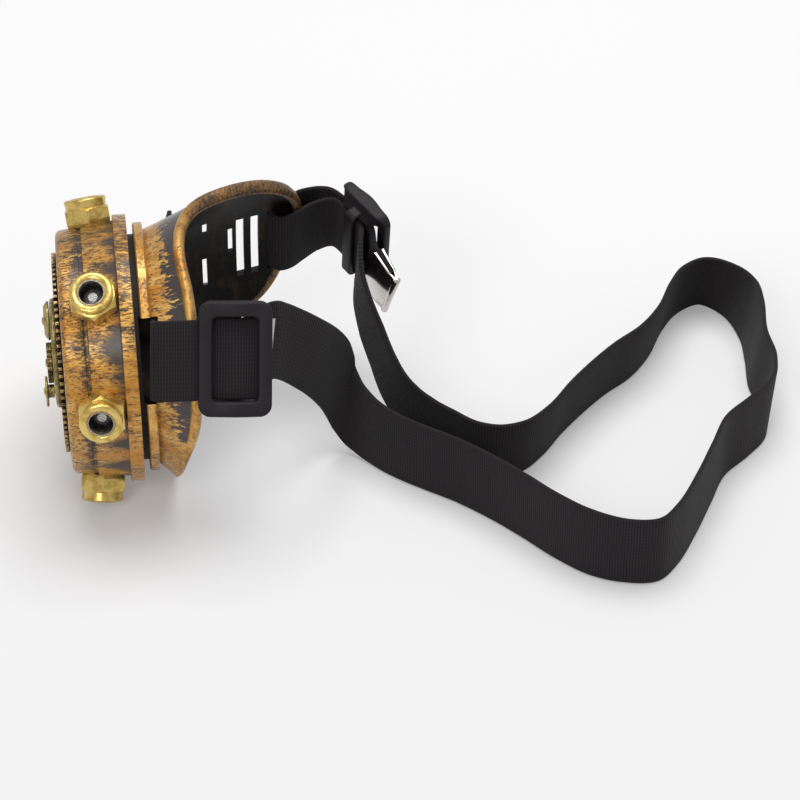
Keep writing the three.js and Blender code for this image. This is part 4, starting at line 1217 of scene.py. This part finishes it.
def make_strap(material):
    stations = strap_stations()
    curve = Curve([point for point, _ in stations])
    section = strap_section()
    rings, weave = [], []
    travelled = 0.0
    last = curve.points[0]
    for i in range(curve.spans * STRAP_STEPS + 1):
        place = i / STRAP_STEPS
        span = min(int(place), curve.spans - 1)
        point, tangent = curve.at(place)
        up = stations[span][1].lerp(stations[span + 1][1], place - span).normalized()
        out = tangent.cross(up).normalized()
        travelled += (point - last).length
        last = point
        rings.append([on_table(point + up * across + out * thick) for across, thick in section])
        weave.extend((travelled * MM, across * MM, 0) for across, _ in section)
    piece = raw_piece("strap", *rings_joined(rings, closed=False, capped=True), [material])
    cloth = piece.data.attributes.new("weave", "FLOAT_VECTOR", "POINT")
    cloth.data.foreach_set("vector", [number for row in weave for number in row])
    stands_for(piece, "head_strap", angle=50)


# Crimps on the strap's ends: a folded sheet whose legs close towards a rolled end. Each has one half of
# its outer and of its inner outline, along the strap's end and out of it, then how much further its lower
# and its upper end reach, and how far its lower end stays inside the strap's edge.
CRIMP_EASE = 0.07
CRIMP_ROLL = 0.95
CRIMP_ROLL_CENTRE = (0.25, 0)
CRIMP_ROLL_ARC = (132, -132, 24)
NEAR_CRIMP = (
    ((-1.1, 1.1), (-0.85, 1.1), (-0.6, 1.08)),
    ((-0.4, 0.7), (-1.1, 0.72)),
    (-0.4, 1.3),
    1.1,
)
FAR_CRIMP = (
    ((-9, 1.5), (-8.6, 1.42), (-2.6, 1.18), (-0.75, 0.72)),
    ((-0.7, 0.12), (-2.4, 0.62), (-8.6, 0.76), (-9, 0.84)),
    (0, 0),
    0,
)


def make_crimp(node, shape, end, heading, up, material):
    outer, inner, slant, trim = shape
    out = heading.cross(up)
    roll = arc(CRIMP_ROLL_CENTRE, CRIMP_ROLL, *CRIMP_ROLL_ARC)
    outline = [*outer, *roll, *[(along, -off) for along, off in reversed(outer)]]
    outline += [(along, -off) for along, off in reversed(inner)] + list(inner)
    half = STRAP_WIDTH / 2
    ends = []
    for side, shift in zip((trim - half, half), slant):
        ring = [end + heading * (along + shift) + out * off + up * side for along, off in outline]
        ends.append([on_table(point) for point in ring])
    piece = raw_piece(node + "_sheet", *rings_joined(ends, closed=False, capped=True), [material])
    stands_for(eased(piece, CRIMP_EASE, segments=2, angle=50), node)


def make_crimps(material):
    near_end, near_up = strap_stations()[0]
    make_crimp("near_crimp", NEAR_CRIMP, near_end, near_slider_frame()[1], near_up, material)
    far_up = square_to(FAR_TAIL_LEAN, FAR_TAIL_HEADING)
    make_crimp("far_crimp", FAR_CRIMP, FAR_TAIL_END, FAR_TAIL_HEADING, far_up, material)


# Sliders, each in its own frame: along the strap, across it and out of it
SLIDER_WIDTH = 28.4
SLIDER_CORNER = 3
WINDOW_CORNER = 1.2
SLIDER_FACE = 4.25
SIDE_BAR_UNDERSIDE = 2.55
RAIL_UNDERSIDE = 0.75
RAIL_SWELL = 0.7
RAIL_SWELL_REACH = 6
SLIDER_ROUND = 0.75
CENTRE_BAR_LEVEL = -2.75
CENTRE_BAR_HALF = (1.75, 0.75)
CENTRE_BAR_LEG = 11.65
CENTRE_BAR_BEND = 1.35
CENTRE_BAR_BEND_STEPS = 8
CENTRE_BAR_CORNER = 0.6
CENTRE_BAR_END = SLIDER_FACE - 1.4
GUSSET_SPAN = (-4, 2)
CORNER_STEPS = 8
ROUND_STEPS = 4
QUARTERS = ((1, 1), (-1, 1), (-1, -1), (1, -1))
# Each slider's window: half its width, how far the inner edges of its lower and its upper rail are drawn
# down, and how much thicker the top of the bar at the loop is
NEAR_WINDOW = (10.42, (2.3, 1.6), 0)
FAR_WINDOW = (10.55, (0, 1.7), 0.6)


def rounded_corners(half_along, half_across, corner, steps):
    """The four corners of a rounded rectangle, each a list of points."""
    corners = []
    for quarter, (a, b) in enumerate(QUARTERS):
        centre = (a * (half_along - corner), b * (half_across - corner))
        corners.append(arc(centre, corner, 90 * quarter, 90 * quarter + 90, steps))
    return corners


def slider_outline(half_along, half_across, corner):
    """Points round a rounded rectangle, as many on each corner and edge, with their share of a rail."""
    corners = rounded_corners(half_along, half_across, corner, CORNER_STEPS)
    outline = []
    for quarter, bend in enumerate(corners):
        shares = [step / CORNER_STEPS for step in range(CORNER_STEPS + 1)]
        rising = quarter % 2 == 0
        outline.extend((point, share if rising else 1 - share) for point, share in zip(bend, shares))
        start, end = Vector(bend[-1]), Vector(corners[(quarter + 1) % 4][0])
        outline.extend((start.lerp(end, share), float(rising)) for share in shares[1:-1])
    return outline


def slider_frame_rings(window_across, skirts, gusset):
    """Sections of a slider's frame: rails past the strap's edges and thinner side bars."""
    half_along, half_across = SLIDER_LENGTH / 2, SLIDER_WIDTH / 2
    outer = slider_outline(half_along, half_across, SLIDER_CORNER)
    inner = slider_outline(half_along - SLIDER_SIDE_BAR, window_across, WINDOW_CORNER)
    rings = []
    for (outside, rail), (inside, _) in zip(outer, inner):
        inside, outside = Vector(inside), Vector(outside)
        width = (outside - inside).length
        near_middle = max(0, 1 - (outside.x / RAIL_SWELL_REACH) ** 2)
        high = SLIDER_FACE + RAIL_SWELL * rail * near_middle**2
        low = SIDE_BAR_UNDERSIDE + (RAIL_UNDERSIDE - SIDE_BAR_UNDERSIDE) * rail
        if outside.x < -half_along + SLIDER_SIDE_BAR:
            start, end = GUSSET_SPAN
            share = min(1, max(0, (inside.y - start) / (end - start)))
            low = min(low, SIDE_BAR_UNDERSIDE - gusset * share)
        inner_low = low - skirts[inside.y > 0] * rail
        r, steps = SLIDER_ROUND, ROUND_STEPS
        section = arc((width - r, high - r), r, 0, 90, steps) + arc((r, high - r), r, 90, 180, steps)
        section += arc((r, inner_low + r), r, 180, 270, steps)
        section += arc((width - r, low + r), r, 270, 360, steps)
        across = (outside - inside) / width
        rings.append([(*(inside + across * share), level) for share, level in section])
    return rings


def centre_bar_rings():
    """Sections of the bar behind the strap, whose ends bend up into the rails."""
    reach, bend = CENTRE_BAR_LEG, CENTRE_BAR_BEND
    turn = arc((reach - bend, CENTRE_BAR_LEVEL + bend), bend, 0, -90, CENTRE_BAR_BEND_STEPS)
    half_path = [(reach, CENTRE_BAR_END), *turn]
    path = half_path + [(-across, level) for across, level in reversed(half_path)]
    corners = rounded_corners(*CENTRE_BAR_HALF, CENTRE_BAR_CORNER, ROUND_STEPS)
    section = [point for corner in corners for point in corner]
    rings = []
    for i, (across, level) in enumerate(path):
        before, after = Vector(path[max(i - 1, 0)]), Vector(path[min(i + 1, len(path) - 1)])
        heading = (after - before).normalized()
        side = Vector((-heading.y, heading.x))
        rings.append([(along, across + side.x * off, level + side.y * off) for along, off in section])
    return rings


def make_slider(node, place, window, material):
    centre, along, up = place
    out = along.cross(up)

    def put(rings):
        return [[on_table(centre + along * a + up * b + out * c) for a, b, c in ring] for ring in rings]

    frame_loop = rings_joined(put(slider_frame_rings(*window)), closed=True)
    piece = raw_piece(node + "_frame", *frame_loop, [material])
    bar = rings_joined(put(centre_bar_rings()), closed=False, capped=True)
    combined(piece, raw_piece(node + "_bar", *bar, [material]), "UNION")
    stands_for(piece, node, angle=40)


def make_sliders(material):
    make_slider("near_slider", near_slider_frame(), NEAR_WINDOW, material)
    make_slider("far_slider", far_slider_frame(), FAR_WINDOW, material)


# Table and light
# The table's colour near the camera and far from it: painted light, with the table drawn darker near and
# brighter far
NEAR_TABLE_SHADED = (0.87, 0.865, 0.875)
FAR_TABLE_LIT = (0.985, 0.985, 0.985)
TABLE_GLOW = 0.22
TABLE_HALF = 4
SKY_STRENGTH = 0.28
SKY_SEEN = 0.85
SKY_MIRRORED = 0.6
# Each lamp's place, size and watts
LAMPS = {"key": ((0.1, 0.15, 1.2), 1.0, 10.9), "fill": ((-0.5, -0.85, 0.75), 0.5, 3.1)}


def make_table():
    shader = Shader("table", {"Specular IOR Level": 0.15, "Emission Strength": 1.0})
    point = shader.point()
    _, y, _ = shader.split(point)
    mottle = shader.noise(point, 30, 3)
    # Painted light: the table's colour grows brighter away from the camera
    white = shader.mix(y.step(-0.2, 0.3) + 0.02 * mottle, NEAR_TABLE_SHADED, FAR_TABLE_LIT)
    glow = shader.ray("Camera", "Glossy", "Transmission") * TABLE_GLOW
    shader.drive("Base Color", shader.mix(glow, white, (0, 0, 0)))
    shader.drive("Emission Color", shader.mix(glow, (0, 0, 0), white))
    shader.drive("Roughness", 0.6 + 0.1 * mottle)
    mesh = bpy.data.meshes.new("table")
    corners = [Vector((a * TABLE_HALF, b * TABLE_HALF, 0)) for a, b in QUARTERS]
    mesh.from_pydata(corners, [], [(2, 3, 0, 1)])
    mesh.materials.append(shader.material)
    table = placed("table", mesh)


def add_lamp(name, place, size, watts):
    data = bpy.data.lights.new(name, "AREA")
    data.shape = "DISK"
    data.size = size
    data.energy = watts
    lamp = placed(name, data)
    lamp.location = place
    lamp.rotation_euler = Vector(place).to_track_quat("Z", "Y").to_euler()


def add_light():
    world = bpy.data.worlds.new("studio")
    sky = Shader("studio", {"Color": (1, 1, 1, 1)}, world)
    seen = sky.ray("Camera", "Transmission").high_of(SKY_MIRRORED * sky.ray("Glossy"))
    sky.drive("Strength", SKY_STRENGTH + (SKY_SEEN - SKY_STRENGTH) * seen)
    bpy.context.scene.world = world
    for name, lamp in LAMPS.items():
        add_lamp(name, *lamp)


bpy.context.scene.view_settings.view_transform = "Standard"
add_camera()
make_strap(elastic_finish())
make_bezel(bezel_finish())
make_fittings(fitting_finish(), steel_finish(*SLEEVE_NICKEL), bore_finish())
make_ornament(*(ornament_finish(*brass) for brass in ORNAMENT_BRASSES))
make_cup(cup_finish(), rim_finish(), inside_finish(), neck_finish())
make_lens(lens_finish())
screw_steel = steel_finish(*SCREW_STEEL)
for number in range(1, len(FITTING_PLACES) + 1):
    frame["nodes"][f"fitting_screw_{number}"].data.materials[0] = screw_steel
frame["nodes"]["lens_gasket"].data.materials[0] = rubber_finish()
make_sliders(plastic_finish())
make_crimps(chrome_finish())
make_table()
add_light()
